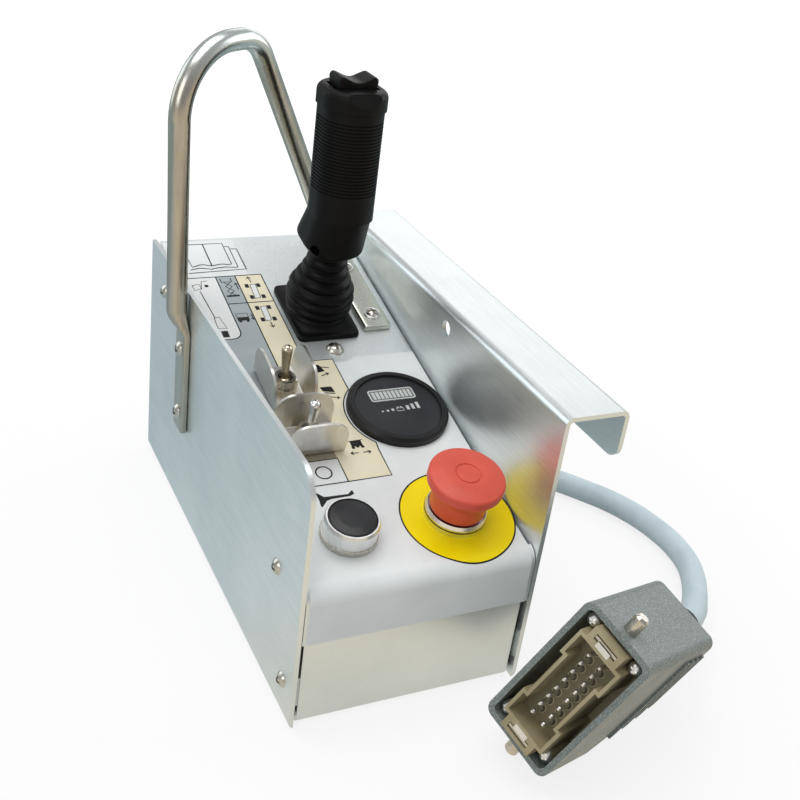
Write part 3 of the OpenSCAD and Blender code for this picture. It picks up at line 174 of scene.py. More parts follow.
def smooth_through(points, steps):
    """Catmull-Rom curve through points 1..n-2, with the first and last span left straight."""
    p = np.asarray(points, float)
    t = (np.arange(steps) / steps)[None, :, None]
    a, b, c, d = (p[k:len(p) - 3 + k, None, :] for k in range(4))
    square, cube = 2 * a - 5 * b + 4 * c - d, 3 * b - a - 3 * c + d
    curve = 0.5 * (2 * b + (c - a) * t + square * t ** 2 + cube * t ** 3)
    return np.concatenate([p[:1], curve.reshape(-1, 3), p[-2:]])


print("path tools ready")

# %% [markdown]
# ## The lead
# The lead is a stiff round cable. It leaves a gland low on the right wall, drops to the floor, lies there
# in one wide bend and rises into the plug. It could be a curve with a bevel; a ring swept along a path
# gives a plain mesh, and the lead's length can be read off the path.

# %% Route of the lead and its tube
PLUG_AT = np.array([45.2, -206.6, 55.1])
ax, ay, az = np.radians([-47.6, 62.9, 152.7])
PLUG_TURN = np.array(Matrix.Rotation(az, 3, "Z") @ Matrix.Rotation(ay, 3, "Y") @ Matrix.Rotation(ax, 3, "X"))
HOOD_H, PLUG_GLAND_X, PLUG_GLAND_L = 78.0, -19.0, 30.0
LEAD_D, LEAD_SIDES = 0.015, 32
hood_end = PLUG_AT + PLUG_TURN @ [PLUG_GLAND_X, 0, -HOOD_H]
gland_end = PLUG_AT + PLUG_TURN @ [PLUG_GLAND_X, 0, -HOOD_H - PLUG_GLAND_L]
lead_route = np.array([
    [80, 54, 24], [94, 54, 24], [108, 54, 22.5], [125, 53, 18], [145, 49, 12], [165, 40, 8.5],
    [180, 28, 7.6], [190, 17, 7.6], [200, 4, 7.6], [212, -14, 7.6], [221, -36, 7.6], [225, -60, 7.6],
    [224, -77, 7.8], [219.5, -92, 8.8], [211.5, -106.5, 10.5], [201, -120.5, 13.5],
    [189.5, -133.5, 18], [176, -147, 25], gland_end, hood_end + 0.2 * (gland_end - hood_end),
])
lead_path = smooth_through(lead_route, 8) * MM


def swept_rings(path, radius, sides):
    """Ring of the given radius about each path point, square to the path: p + r (cos a s + sin a w)."""
    t = headings(path)
    s = unit(np.cross([0.0, 0.0, 1.0], t))
    w = np.cross(t, s)
    a = full_turn(sides)[None, :, None]
    return path[:, None] + radius * (np.cos(a) * s[:, None] + np.sin(a) * w[:, None])


lead_rings = swept_rings(lead_path, LEAD_D / 2, LEAD_SIDES)
lead = mesh_piece("lead_sheath", *capped(lead_rings), "enclosure", "cable")
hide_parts("power_cable")

# %% [markdown]
# ## Details of the plug's insert
# The insert holds two rows of pins. Around each pin a dark ring of painted shade stands in for a hole, with a
# paler rim; the bed they stand in is painted darker than the walls, as the shade deep in the insert, and each
# end has a bright earth tab. They could be cut into the solid; flat faces a few hundredths of a millimetre
# above it take their own finish and show the same.

# %% Painted shade of pin holes and bed, rims and earth tabs
PIN_PITCH, PIN_COUNT, PIN_SIDE = 6.2, 8, 4.0
RING_Z, BED_Z, TAB_Z = -8.97, -8.985, 5.03
RING_SIDES = 32
pin_x = (np.arange(PIN_COUNT) - (PIN_COUNT - 1) / 2) * PIN_PITCH
PIN_AT = np.array([[x, side, RING_Z] for x in pin_x for side in (-PIN_SIDE, PIN_SIDE)])


def from_plug(points):
    """Points of the plug's frame, in millimetres, as metres in the box's frame: turn p + place."""
    return (points @ PLUG_TURN.T + PLUG_AT) * MM


def pin_rings(name, *radii):
    """One flat ring of the two radii about each pin, on the insert's bed: c + r (cos a, sin a, 0)."""
    a = full_turn(RING_SIDES)
    ring = np.stack([np.outer(radii, np.cos(a)), np.outer(radii, np.sin(a)), np.zeros((2, RING_SIDES))], -1)
    points = (PIN_AT[:, None, None] + ring).reshape(-1, 3)
    starts = 2 * RING_SIDES * np.arange(len(PIN_AT))[:, None, None]
    faces = (grid_quads(2, RING_SIDES) + starts).reshape(-1, 4)
    return mesh_piece(name, from_plug(points), faces, "enclosure", "strip")


def flat_at(edge, z):
    """The points of a flat outline at one height of the plug, in the box's frame."""
    return from_plug(np.column_stack([edge, np.full(len(edge), z)]))


# Painted shade: the dark rings round the pins stand in for holes; the paler rims are the insert's own colour.
sockets, rims = pin_rings("pin_hole_shade", 1.27, 2.2), pin_rings("socket_rims", 2.2, 2.7)
bed_side = np.array([[-28.2, -12.2], [-15.8, -12.2], [-15.8, -9.7], [15.8, -9.7], [15.8, -12.2], [28.2, -12.2]])
bed_edge = np.concatenate([bed_side, bed_side[::-1] * [1, -1]])
# Painted shade: the bed is coloured darker than the insert's walls, as the shade deep inside it.
shaded_bed = mesh_piece("shaded_bed", flat_at(bed_edge, BED_Z), [range(len(bed_edge))], "enclosure", "strip")
tab_side = np.array([[32.9, 4.2], [29.9, 4.2], [29.9, -4.2], [32.9, -4.2]])
tab_edge = np.concatenate([tab_side, tab_side * [-1, 1]])
tabs = mesh_piece("earth_tabs", flat_at(tab_edge, TAB_Z), [[0, 1, 2, 3], [7, 6, 5, 4]], "enclosure", "steel")

# %% [markdown]
# ## Finishes
# A real surface is never one colour. Each finish below starts from a plain principled shader and lets a
# noise, stretched along the grain where there is one, move its colour, gloss and relief a little. The
# noise reads Object coordinates, so a pattern stays put on its piece and keeps its size in metres.

# %% Colours, noise and arithmetic for shaders
def srgb(r, g, b):
    """Colour given in 0..255 as the linear RGBA that shaders use: ((c + 0.055) / 1.055) ** 2.4."""
    c = np.array([r, g, b]) / 255.0
    return (*np.where(c <= 0.04045, c / 12.92, ((c + 0.055) / 1.055) ** 2.4).tolist(), 1.0)


def new_finish(name):
    """An empty principled finish and the Object coordinate that its patterns read."""
    finish = bpy.data.materials.new(name)
    finish.use_nodes = True
    tree = finish.node_tree
    return finish, tree, tree.nodes["Principled BSDF"], tree.nodes.new("ShaderNodeTexCoord").outputs["Object"]


def cloud(tree, coord, scale, detail=4.0):
    """Noise on coordinates scaled by three numbers; unequal ones stretch it into a grain."""
    mapping = tree.nodes.new("ShaderNodeMapping")
    mapping.inputs["Scale"].default_value = scale
    noise = tree.nodes.new("ShaderNodeTexNoise")
    noise.inputs["Scale"].default_value = 1.0
    noise.inputs["Detail"].default_value = detail
    noise.inputs["Roughness"].default_value = 0.55
    tree.links.new(coord, mapping.inputs["Vector"])
    tree.links.new(mapping.outputs["Vector"], noise.inputs["Vector"])
    return noise.outputs["Fac"]


def node_math(tree, operation, *operands):
    """One arithmetic node; each operand is a socket or a number."""
    node = tree.nodes.new("ShaderNodeMath")
    node.operation = operation
    for socket, value in zip(node.inputs, operands):
        if isinstance(value, (int, float)):
            socket.default_value = value
        else:
            tree.links.new(value, socket)
    return node.outputs[0]


print("noise ready")

# %% Patterns into a shader's sockets
def tones(tree, fac, target, low, high, start=0.3, end=0.7):
    """Runs a pattern through a two-colour ramp into a colour socket."""
    ramp = tree.nodes.new("ShaderNodeValToRGB")
    first, last = ramp.color_ramp.elements
    first.position, last.position = start, end
    first.color, last.color = low, high
    tree.links.new(fac, ramp.inputs["Fac"])
    tree.links.new(ramp.outputs["Color"], target)


def map_range(tree, value, start, end, low=0.0, high=1.0):
    """A value's span start..end as low..high, held at both ends."""
    span = tree.nodes.new("ShaderNodeMapRange")
    for key, number in (("From Min", start), ("From Max", end), ("To Min", low), ("To Max", high)):
        span.inputs[key].default_value = number
    tree.links.new(value, span.inputs["Value"])
    return span.outputs["Result"]


def spread(tree, fac, target, low, high):
    """Runs a pattern from 0.25..0.75 to low..high into a number socket."""
    tree.links.new(map_range(tree, fac, 0.25, 0.75, low, high), target)


def relief(tree, fac, shader, depth):
    """Bump of the given depth in metres from a pattern."""
    bump = tree.nodes.new("ShaderNodeBump")
    bump.inputs["Distance"].default_value = depth
    bump.inputs["Strength"].default_value = 1.0
    tree.links.new(fac, bump.inputs["Height"])
    tree.links.new(bump.outputs["Normal"], shader.inputs["Normal"])


def dress(finish, *names):
    """Gives a finish to CAD nodes."""
    for name in names:
        nodes[name].data.materials.clear()
        nodes[name].data.materials.append(finish)


print("patterns ready")

# %% [markdown]
# ## Bare sheet metal
# The chassis is unpainted rolled sheet: fine lines along the rolling direction, soft cloudy patches from
# handling, and a broad, milky gloss. A photograph of sheet metal could carry this, but it would show its
# repeats; stretching a noise some fifty times along y gives the lines, and a second, round noise the clouds.
# Tube, guards and plated screws take the same recipe with other numbers. The tube's top and right leg are
# painted
# paler: painted reflections of the bright room, mixed into its colour.

# %% Recipes for metal
SHEET_GRAIN = (1900, 36, 1900)
MIX_SHARE, MIX_FIRST, MIX_SECOND, MIX_RESULT = 0, 6, 7, 2  # the sockets of a mix node for colours


def rolled_sheet(name, low, high, gloss, grain, depth, clouds=11.0, metal=1.0):
    """Metal with grain lines along one axis and cloudy patches of gloss and tone."""
    finish, tree, shader, coord = new_finish(name)
    shader.inputs["Metallic"].default_value = metal
    lines = cloud(tree, coord, grain, 3.0)
    patches = cloud(tree, coord, (clouds,) * 3, 5.0)
    mean = node_math(tree, "MULTIPLY_ADD", lines, 0.5, node_math(tree, "MULTIPLY", patches, 0.5))
    tones(tree, mean, shader.inputs["Base Color"], low, high, 0.36, 0.64)
    spread(tree, mean, shader.inputs["Roughness"], *gloss)
    relief(tree, lines, shader, depth)
    return finish


def plated(name, low, high, gloss):
    """Bright plated metal: nearly even, with small stains in its gloss."""
    return rolled_sheet(name, low, high, gloss, (900,) * 3, 2e-6, 160.0)


def painted_reflection_beyond(finish, axis, low, high, pale):
    """Paints a paler reflection into a finish from one place along an axis to another, and holds it beyond."""
    tree = finish.node_tree
    base = tree.nodes["Principled BSDF"].inputs["Base Color"]
    split = tree.nodes.new("ShaderNodeSeparateXYZ")
    blend = tree.nodes.new("ShaderNodeMix")
    blend.data_type = "RGBA"
    blend.inputs[MIX_SECOND].default_value = pale
    tree.links.new(base.links[0].from_socket, blend.inputs[MIX_FIRST])
    tree.links.new(tree.nodes["Texture Coordinate"].outputs["Object"], split.inputs["Vector"])
    tree.links.new(map_range(tree, split.outputs[axis], low, high), blend.inputs[MIX_SHARE])
    tree.links.new(blend.outputs[MIX_RESULT], base)


print("metal recipes ready")

# %% Metal finishes on their nodes
sheet_finish = rolled_sheet("rolled_sheet", srgb(214, 220, 221), srgb(238, 242, 242), (0.28, 0.42),
                            SHEET_GRAIN, 4.5e-5, metal=0.88)
panel_finish = rolled_sheet("panel_sheet", srgb(210, 216, 217), srgb(234, 239, 240), (0.34, 0.48),
                            SHEET_GRAIN, 3e-5, metal=0.75)
tube_finish = rolled_sheet("polished_tube", srgb(168, 164, 152), srgb(188, 184, 173), (0.22, 0.30),
                           (700, 700, 30), 2e-7, 40.0)
# Painted reflections: the tube's top and its right leg turn paler, as the bright room reflected in them.
painted_reflection_beyond(tube_finish, "Z", 0.268, 0.292, srgb(210, 218, 217))
painted_reflection_beyond(tube_finish, "X", 0.034, 0.040, srgb(206, 210, 199))
guard_finish = rolled_sheet("guard_sheet", srgb(212, 210, 203), srgb(232, 230, 224), (0.26, 0.36),
                            (140, 60, 60), 2.5e-4, 60.0)
nickel_finish = plated("nickel_plate", srgb(184, 172, 146), srgb(218, 209, 188), (0.12, 0.24))
satin_finish = plated("satin_plate", srgb(224, 225, 225), srgb(240, 240, 240), (0.26, 0.38))
zinc_finish = plated("zinc_plate", srgb(178, 174, 164), srgb(214, 211, 204), (0.16, 0.34))
chrome_finish = plated("chrome_plate", srgb(212, 212, 212), srgb(236, 236, 236), (0.05, 0.14))
dress(sheet_finish, "chassis")
dress(panel_finish, "control_panel")
dress(guard_finish, "rear_toggle_guard", "front_toggle_guard")
dress(zinc_finish, "wall_screws", "panel_nuts", "hoop_side_screws", "hoop_panel_screws", "hoop_nuts",
      "joystick_screws", "joystick_pivot_pin", "joystick_shaft", "grip_screw", "trigger_pin", "rocker_pin",
      "terminal_screws", "cable_gland_locknut", "gauge_clamp", "plug_earth_contacts", "plug_locking_pegs")
dress(satin_finish, "horn_bezel", "estop_collar", "plug_pins", "plug_insert_screws")
dress(nickel_finish, "rear_toggle_nut", "front_toggle_nut", "rear_toggle_lever")
dress(chrome_finish, "front_toggle_lever")
print("metal finishes", sum(m.name.endswith(("sheet", "plate", "tube")) for m in bpy.data.materials))

# %% [markdown]
# ## Plastics and rubber
# Moulded parts carry the grain of their mould: a fine leathery relief on the grip, a duller skin on the
# rubber boot, an orange-peel coat on the plug's cast hood. Each could have a finish of its own; the same
# recipe with other numbers makes them all, film and ink too.

# %% Recipes for plastic, film and ink
def moulded(name, low, high, gloss, grain=1500.0, depth=2e-5, shine=0.5, flecks=False):
    """Plastic or rubber with an even grain, a slow drift of colour (or fine flecks) and a patchy gloss."""
    finish, tree, shader, coord = new_finish(name)
    fine = cloud(tree, coord, (grain,) * 3, 2.0)
    slow = cloud(tree, coord, (45.0,) * 3, 4.0)
    pattern, start = (fine, 0.5) if flecks else (slow, 0.3)
    tones(tree, pattern, shader.inputs["Base Color"], low, high, start)
    spread(tree, slow, shader.inputs["Roughness"], *gloss)
    relief(tree, fine, shader, depth)
    shader.inputs["Specular IOR Level"].default_value = shine
    return finish


def printed(name, low, high, gloss=(0.34, 0.46), shine=0.5):
    """Film or ink: a grain too fine and shallow to show, and an even sheen."""
    return moulded(name, low, high, gloss, 3000.0, 2e-6, shine)


print("plastic recipes ready")

# %% Moulded finishes on their nodes
grip_finish = moulded("grip_plastic", srgb(8, 8, 7), srgb(15, 15, 14), (0.40, 0.52), 1700.0, 3e-5, 0.13)
boot_finish = moulded("boot_rubber", srgb(4, 5, 5), srgb(9, 10, 10), (0.34, 0.46), 900.0, 2e-5, 0.14)
black_finish = moulded("black_plastic", srgb(18, 18, 19), srgb(28, 28, 30), (0.36, 0.50), shine=0.3)
cap_finish = moulded("button_plastic", srgb(28, 29, 31), srgb(42, 43, 46), (0.28, 0.40), 2200.0, 1e-5, 0.4)
dial_finish = moulded("dial_plastic", srgb(34, 36, 40), srgb(44, 46, 50), (0.26, 0.36), 2500.0, 5e-6, 0.35)
red_finish = moulded("stop_red", srgb(204, 76, 60), srgb(218, 88, 70), (0.32, 0.44), 2600.0, 6e-6, 0.4)
# The hood's flecks follow its pebbled coat; their pale tone is painted glints of the coat's flakes.
hood_finish = moulded("hood_coat", srgb(112, 120, 117), srgb(164, 174, 173), (0.30, 0.44), 1500.0, 9e-5, 0.35,
                      flecks=True)
insert_finish = moulded("insert_plastic", srgb(148, 138, 106), srgb(172, 162, 130), (0.42, 0.55), 1600.0, 1e-5)
sheath_finish = moulded("lead_sheath", srgb(180, 198, 204), srgb(198, 214, 220), (0.40, 0.54), 700.0)
contact_finish = moulded("contact_plastic", srgb(60, 110, 90), srgb(74, 124, 102), (0.40, 0.55))
film_finish = printed("printed_film", srgb(222, 227, 227), srgb(232, 236, 236), (0.32, 0.44))
dress(grip_finish, "grip_front_shell", "grip_rear_shell", "grip_cap", "enable_trigger", "steer_rocker")
dress(black_finish, "gauge_bezel", "gauge_case", "joystick_base", "estop_stem", "horn_plunger", "estop_nut",
      "horn_nut", "cable_gland_body", "cable_gland_nut", "plug_gland")
dress(boot_finish, "joystick_boot")
dress(cap_finish, "horn_cap")
dress(dial_finish, "gauge_face")
dress(red_finish, "estop_mushroom")
dress(hood_finish, "plug_hood")
dress(insert_finish, "plug_insert", "terminal_strip")
dress(contact_finish, "estop_contact_block", "horn_contact_block")
dress(film_finish, "panel_film")
dress(sheath_finish, "power_cable")
lead.data.materials.append(sheath_finish)
# Painted shade: the colour of the dark rings that stand in for pin holes.
sockets.data.materials.append(moulded("pin_hole_shade_finish", srgb(62, 55, 36), srgb(76, 68, 46), (0.45, 0.58)))
rims.data.materials.append(insert_finish)
tabs.data.materials.append(satin_finish)
# Painted shade: the bed's darker colour stands in for the shade deep in the insert.
shaded_bed.data.materials.append(moulded("bed_shade", srgb(104, 96, 70), srgb(122, 113, 86), (0.45, 0.58)))
print("moulded finishes done")

# %% [markdown]
# ## Thread of the toggles
# The toggles stand on threaded bushings. A cut helix would cost many faces at a size that nobody sees;
# bands of relief along the panel's normal, one to each pitch, read as a thread. The same bands carry painted
# shade, darker in each groove, and a painted highlight, paler on each crest.

# %% Threaded finish
WAVE_STEP = 0.314  # a wave texture of scale 1 repeats every 2 pi / 20


def threaded(name, low, high, gloss, pitch, depth):
    """Plated metal with thread rings: bands along the panel's normal, one to each pitch, with painted shade in
    the grooves and a painted highlight on the crests.
    """
    finish, tree, shader, coord = new_finish(name)
    shader.inputs["Metallic"].default_value = 1.0
    mapping = tree.nodes.new("ShaderNodeMapping")
    mapping.inputs["Rotation"].default_value = (-SLOPE, 0, 0)
    wave = tree.nodes.new("ShaderNodeTexWave")
    wave.bands_direction = "Z"
    wave.inputs["Scale"].default_value = WAVE_STEP / (pitch * MM)
    tree.links.new(coord, mapping.inputs["Vector"])
    tree.links.new(mapping.outputs["Vector"], wave.inputs["Vector"])
    # Painted shade and highlight: the wave colours the grooves dark and the crests pale.
    tones(tree, wave.outputs["Fac"], shader.inputs["Base Color"], low, high)
    spread(tree, cloud(tree, coord, (300.0,) * 3), shader.inputs["Roughness"], *gloss)
    relief(tree, wave.outputs["Fac"], shader, depth)
    return finish


thread_finish = threaded("toggle_thread", srgb(150, 146, 138), srgb(206, 204, 198), (0.20, 0.36), 0.9, 2e-4)
dress(thread_finish, "rear_toggle_body", "front_toggle_body")
bare = sorted(n for n, o in nodes.items() if not o.data.materials or not o.data.materials[0].use_nodes)
print("thread done; nodes without a finish:", bare)

# %% [markdown]
# ## Carrying hoop
# The hoop is one bent stainless tube whose two ends are pressed flat for their screws. A curve with a bevel
# would make the tube but not its flat feet. Here the section is a superellipse: with power 1 it is the round
# tube, and as the power drops and the axes change it becomes the flat strip. Carrying that section along
# the bent path gives tube, bends and feet in one skin.

# %% Path of the hoop
TUBE, FOOT_W, FOOT_T = 12.0, 17.5, 4.0
HOOP_X, HOOP_Y, HOOP_TOP = -BOX_W / 2 - TUBE / 2 - GAP, 60.0, 288.0
BEND_RADII, ARC_STEPS = (38.0, 22.0, 15.0), 25
FOOT_STEPS, END_STEP, END_SIZE, HOOP_SIDES = 13, 0.6, 0.94, 48
WALL_FOOT_LOW, WALL_FOOT_FLAT, WALL_FOOT_ROUND = 61.0, 124.0, 140.0
WALL_FOOT_X = -BOX_W / 2 - FOOT_T / 2
FOOT_X, FLAT_U, PRESS = BOX_W / 2 - 19.2, LID_LEN - 35.0, 10.0
CORNER_U, FOOT_END_U = LID_LEN - 9.0, LID_LEN - 102.5
ALONG_Y, AGAINST_X = np.array([0.0, 1.0, 0.0]), np.array([-1.0, 0.0, 0.0])


def panel_mm(x, u, h):
    """A place on the panel, kept in millimetres."""
    return on_panel(x, u, h) / MM


def bend(before, corner, after, radius, steps):
    """Points of the arc that rounds a corner: start + r sin(a) v0 + r (1 - cos(a)) side."""
    v0, v1 = unit(corner - before), unit(after - corner)
    turn = math.acos(float(v0 @ v1))
    side = unit(v1 - v0 * (v0 @ v1))
    a = np.linspace(0, turn, steps)[:, None]
    return corner - v0 * radius * math.tan(turn / 2) + radius * (np.sin(a) * v0 + (1 - np.cos(a)) * side)


corners = np.array([
    [HOOP_X, HOOP_Y, WALL_FOOT_ROUND], [HOOP_X - 3.5, HOOP_Y - 2, HOOP_TOP],
    [HOOP_X + 47.3, HOOP_Y + 28, HOOP_TOP],
    panel_mm(FOOT_X, CORNER_U, TUBE / 2), panel_mm(FOOT_X, FLAT_U + PRESS, TUBE / 2),
])
t = np.linspace(0, 1, FOOT_STEPS)
ease = t * t * (3 - 2 * t)
wall_foot = np.stack([WALL_FOOT_X + ease * (HOOP_X - WALL_FOOT_X), np.full(FOOT_STEPS, HOOP_Y),
                      WALL_FOOT_FLAT + (WALL_FOOT_ROUND - WALL_FOOT_FLAT) * t], -1)
panel_foot = panel_mm(FOOT_X, FLAT_U + PRESS * t, FOOT_T / 2 + ease * (TUBE - FOOT_T) / 2)[::-1]
arcs = [bend(*corners[k:k + 3], r, ARC_STEPS) for k, r in enumerate(BEND_RADII)]
hoop_path = np.concatenate([
    [[WALL_FOOT_X, HOOP_Y, WALL_FOOT_LOW], [WALL_FOOT_X, HOOP_Y, WALL_FOOT_LOW + END_STEP]],
    wall_foot, *arcs, panel_foot,
    [panel_mm(FOOT_X, FOOT_END_U + END_STEP, FOOT_T / 2), panel_mm(FOOT_X, FOOT_END_U, FOOT_T / 2)],
])
round_part = np.ones(len(arcs) * ARC_STEPS)
roundness = np.concatenate([[0, 0], ease, round_part, ease[::-1], [0, 0]])[:, None, None]
shrink = np.concatenate([[END_SIZE], np.ones(len(hoop_path) - 2), [END_SIZE]])[:, None, None]
plane = unit(np.cross(corners[2] - corners[1], [0, 0, -1.0]))
turning = np.linspace(0, 1, ARC_STEPS)[:, None]
wide = np.concatenate([
    np.tile(ALONG_Y, (FOOT_STEPS + 2, 1)), np.tile(plane, (2 * ARC_STEPS, 1)),
    plane * (1 - turning) + AGAINST_X * turning, np.tile(AGAINST_X, (FOOT_STEPS + 2, 1)),
])
print("hoop path of", len(hoop_path), "points")

# %% Bent tube with pressed feet
def hoop_skin(sides):
    """Rings b |cos a|^q e1 + c |sin a|^q e2, with q, b and c eased between flat foot and round tube."""
    ahead = headings(hoop_path)
    e1 = unit(wide - ahead * (wide * ahead).sum(-1, keepdims=True))
    e2 = np.cross(ahead, e1)
    a = full_turn(sides)[None, :, None]
    q = 0.3 + 0.7 * roundness
    b = shrink * (FOOT_W / 2 + roundness * (TUBE - FOOT_W) / 2)
    c = shrink * (FOOT_T / 2 + roundness * (TUBE - FOOT_T) / 2)
    across, over = (np.sign(v) * np.abs(v) ** q for v in (np.cos(a), np.sin(a)))
    return (hoop_path[:, None] + b * across * e1[:, None] + c * over * e2[:, None]) * MM


hoop = mesh_piece("hoop_tube", *capped(hoop_skin(HOOP_SIDES)), "enclosure", "tube", tube_finish)
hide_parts("hoop_handle")
print("hoop of", len(hoop.data.polygons), "faces")

# %% [markdown]
# ## Rubber boot
# The boot is one moulding: a flat flange, then a sleeve of round folds that narrows to the grip. A simulation
# could fold a plain sleeve, but these folds are moulded in and keep their shape. So the outline is followed
# ring by ring: the first rings are rounded rectangles, the rest circles whose radius swings with a cosine,
# once per fold.

# %% Boot with its folds
def soft_rectangle(width, length, corner, angle):
    """Reach of a rounded rectangle in each direction: (|2 cos a / w|^p + |2 sin a / l|^p)^(-1/p)."""
    power = 2.0 + 60.0 / corner
    across, along = np.abs(2 * np.cos(angle) / width), np.abs(2 * np.sin(angle) / length)
    return (across ** power + along ** power) ** (-1 / power)


LOW_R, TOP_R, BOOT_H, FOLDS = 19.0, 11.7, 49.7, 7
FLANGE_W, FLANGE_L, FLANGE_CORNER = 39.0, 52.0, 4.5
SWELL, HALF_FOLD, LEAN, FOLDS_H, END_ROOM = 1.5, 1.15, 0.6, 3.4, 6.0
BOOT_SIDES, FOLD_RINGS = 144, 96


def boot_profile(a):
    """Radius and height of the boot's rings, first the flange's, then with n folds along s = 0..1:

    r = crest(s) - d (1 - cos 2 pi n s) (1 - 0.3 s),  h = h0 + s height + lean sin 2 pi n s
    """
    flange_in, flange_h = np.array([
        [0.0, 0.02], [0.0, 0.6], [0.0, 2.1], [0.35, 2.75], [1.2, 3.05], [2.6, 3.1]]).T
    flange = np.stack([soft_rectangle(FLANGE_W - d, FLANGE_L - d, FLANGE_CORNER, a) for d in flange_in])
    s = np.linspace(0, 1, FOLD_RINGS + 1)[1:]
    phase = 2 * np.pi * FOLDS * s
    fall = np.clip((s - 0.32) / 0.64, 0, 1)
    taper = (TOP_R - LOW_R) * fall ** 2 * (3 - 2 * fall)
    crest = LOW_R + SWELL * np.sin(np.pi * np.minimum(1, s / 0.6)) + taper
    fold_r = crest - HALF_FOLD * (1 - np.cos(phase)) * (1 - 0.3 * s)
    fold_h = FOLDS_H + s * (BOOT_H - END_ROOM) + LEAN * np.sin(phase)
    end_r, end_h = [TOP_R, TOP_R - 0.5, 9.0, 5.5], BOOT_H - np.array([0.5, 0.08, 0.04, 0.05])
    round_r = np.concatenate([[LOW_R + 0.1], fold_r, end_r])[:, None]
    radius = np.concatenate([flange, np.tile(round_r, (1, len(a)))])
    return radius, np.concatenate([flange_h, [3.25], fold_h, end_h])[:, None] + 0 * radius


a = full_turn(BOOT_SIDES)
radius, height = boot_profile(a)
rings = on_panel(STICK[0] + radius * np.cos(a), STICK[1] + radius * np.sin(a), height)
boot = mesh_piece("boot_skin", rings, grid_quads(*radius.shape), None, "boot", boot_finish)
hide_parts("joystick_boot")
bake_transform(boot)
print("boot folds narrow from", 2 * LOW_R, "to", 2 * TOP_R, "mm")

# %% [markdown]
# ## Emergency stop mushroom
# The red head is a turned shape: a straight skirt, a flared underside, a rounded rim and a slightly domed top
# with a fine ring cut into it. Bevels on a solid would round all its edges alike; here the half outline is a
# list of corners, each rounded by its own radius, and turned about the button's axis.

# %% Turned head of the emergency stop
def rounded_outline(corners, radii, steps=7):
    """Replaces each inner corner of a polyline by an arc of the given radius."""
    p = np.asarray(corners, float)
    arcs = [bend(*p[k:k + 3], r, steps) for k, r in enumerate(radii)]
    return np.concatenate([p[:1], *arcs, p[-1:]])


def turned(name, outline, place, sides, body, slot, finish):
    """Surface of revolution of (r, h) pairs about a place on the panel: (x + r cos a, u + r sin a, h)."""
    a = full_turn(sides)
    r, h = outline[:, :1], outline[:, 1:]
    rings = on_panel(place[0] + r * np.cos(a), place[1] + r * np.sin(a), h + 0 * a)
    return mesh_piece(name, rings, grid_quads(*rings.shape[:2]), body, slot, finish)


TURNED_SIDES, WASHER_SIDES = 96, 64
head_outline = rounded_outline(
    [[6.05, 7.5], [15.0, 7.5], [15.2, 17.3], [18.25, 22.3], [20.25, 24.1], [20.25, 29.4], [12.0, 30.5],
     [7.0, 30.75], [6.9, 30.25], [6.3, 30.25], [6.2, 30.8], [0.02, 30.95]],
    [0.4, 3.0, 4.0, 1.0, 1.7, 12.0, 0.08, 0.08, 0.08, 0.08])
head = turned("stop_head", head_outline, ESTOP, TURNED_SIDES, "estop_button", "red", red_finish)
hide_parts("estop_mushroom")
print("stop head", len(head.data.polygons), "faces")

# %% [markdown]
# ## Groove shade, foot ring and washers
# Three kinds of small turned part finish the controls: a black ring of painted shade in the stop's collar
# groove, a plain ring at the foot of the horn's bezel, and a washer under each screw of the hoop's foot. They
# could be solids too; they are thin rings on parts that stand there already, so turning their half outlines is
# enough.

# %% Turned rings and washers
WASHER_BACKS = (("front_foot_washer", 91.0), ("rear_foot_washer", 43.5))
# Painted shade: a thin black ring stands in for the dark groove round the stop's collar.
groove_shade_outline = rounded_outline([[16.5, 3.1], [16.75, 3.1], [16.75, 3.9], [16.5, 3.9]], [0.1, 0.1])
turned("collar_groove_shade", groove_shade_outline, ESTOP, TURNED_SIDES, "enclosure", "black_plastic", black_finish)
foot_outline = rounded_outline([[14.3, 0.3], [15.0, 0.3], [14.85, 3.9], [14.3, 3.9]], [0.2, 0.3])
turned("horn_foot", foot_outline, HORN, TURNED_SIDES, "enclosure", "chrome", zinc_finish)
washer_outline = [0, FOOT_T] + np.array([
    [2.6, 0.5], [4.1, 0.5], [4.4, 1.1], [4.9, 1.15], [5.3, 0.9], [5.4, 0.02]])
for name, back in WASHER_BACKS:
    turned(name, washer_outline, (FOOT_X, LID_LEN - back), WASHER_SIDES, "enclosure", "steel", satin_finish)
print("seal, foot ring and", len(WASHER_BACKS), "washers")

# %% [markdown]
# ## Steering rocker
# The thumb rocker is a short moulding with two raised lobes and a dip between them. Cut from a block it would
# keep hard edges; here its rounded outline in x and z is carried along y, and the last rings at each end draw
# in along a quarter circle, as a moulded edge does.

# %% Rocker with rounded lobes and edges
NECK_TOP, ROCKER_FROM_NECK = 72.0, (2.0, 0.0, 70.5)
ROCKER_AT = on_panel(*STICK, NECK_TOP) / MM + ROCKER_FROM_NECK
ROCKER_D, EDGE, LOBE_HALF = 16.0, 1.3, 8.0
lobe_outline = rounded_outline(
    [[0, -3.2], [4, -3.2], [10.75, -0.5], [12.1, 10.3], [0, 5.1], [-12.1, 10.3], [-10.75, -0.5],
     [-4, -3.2], [-0.1, -3.2]],
    [2.0, 1.2, 2.3, 9.0, 2.3, 1.2, 2.0], 11)


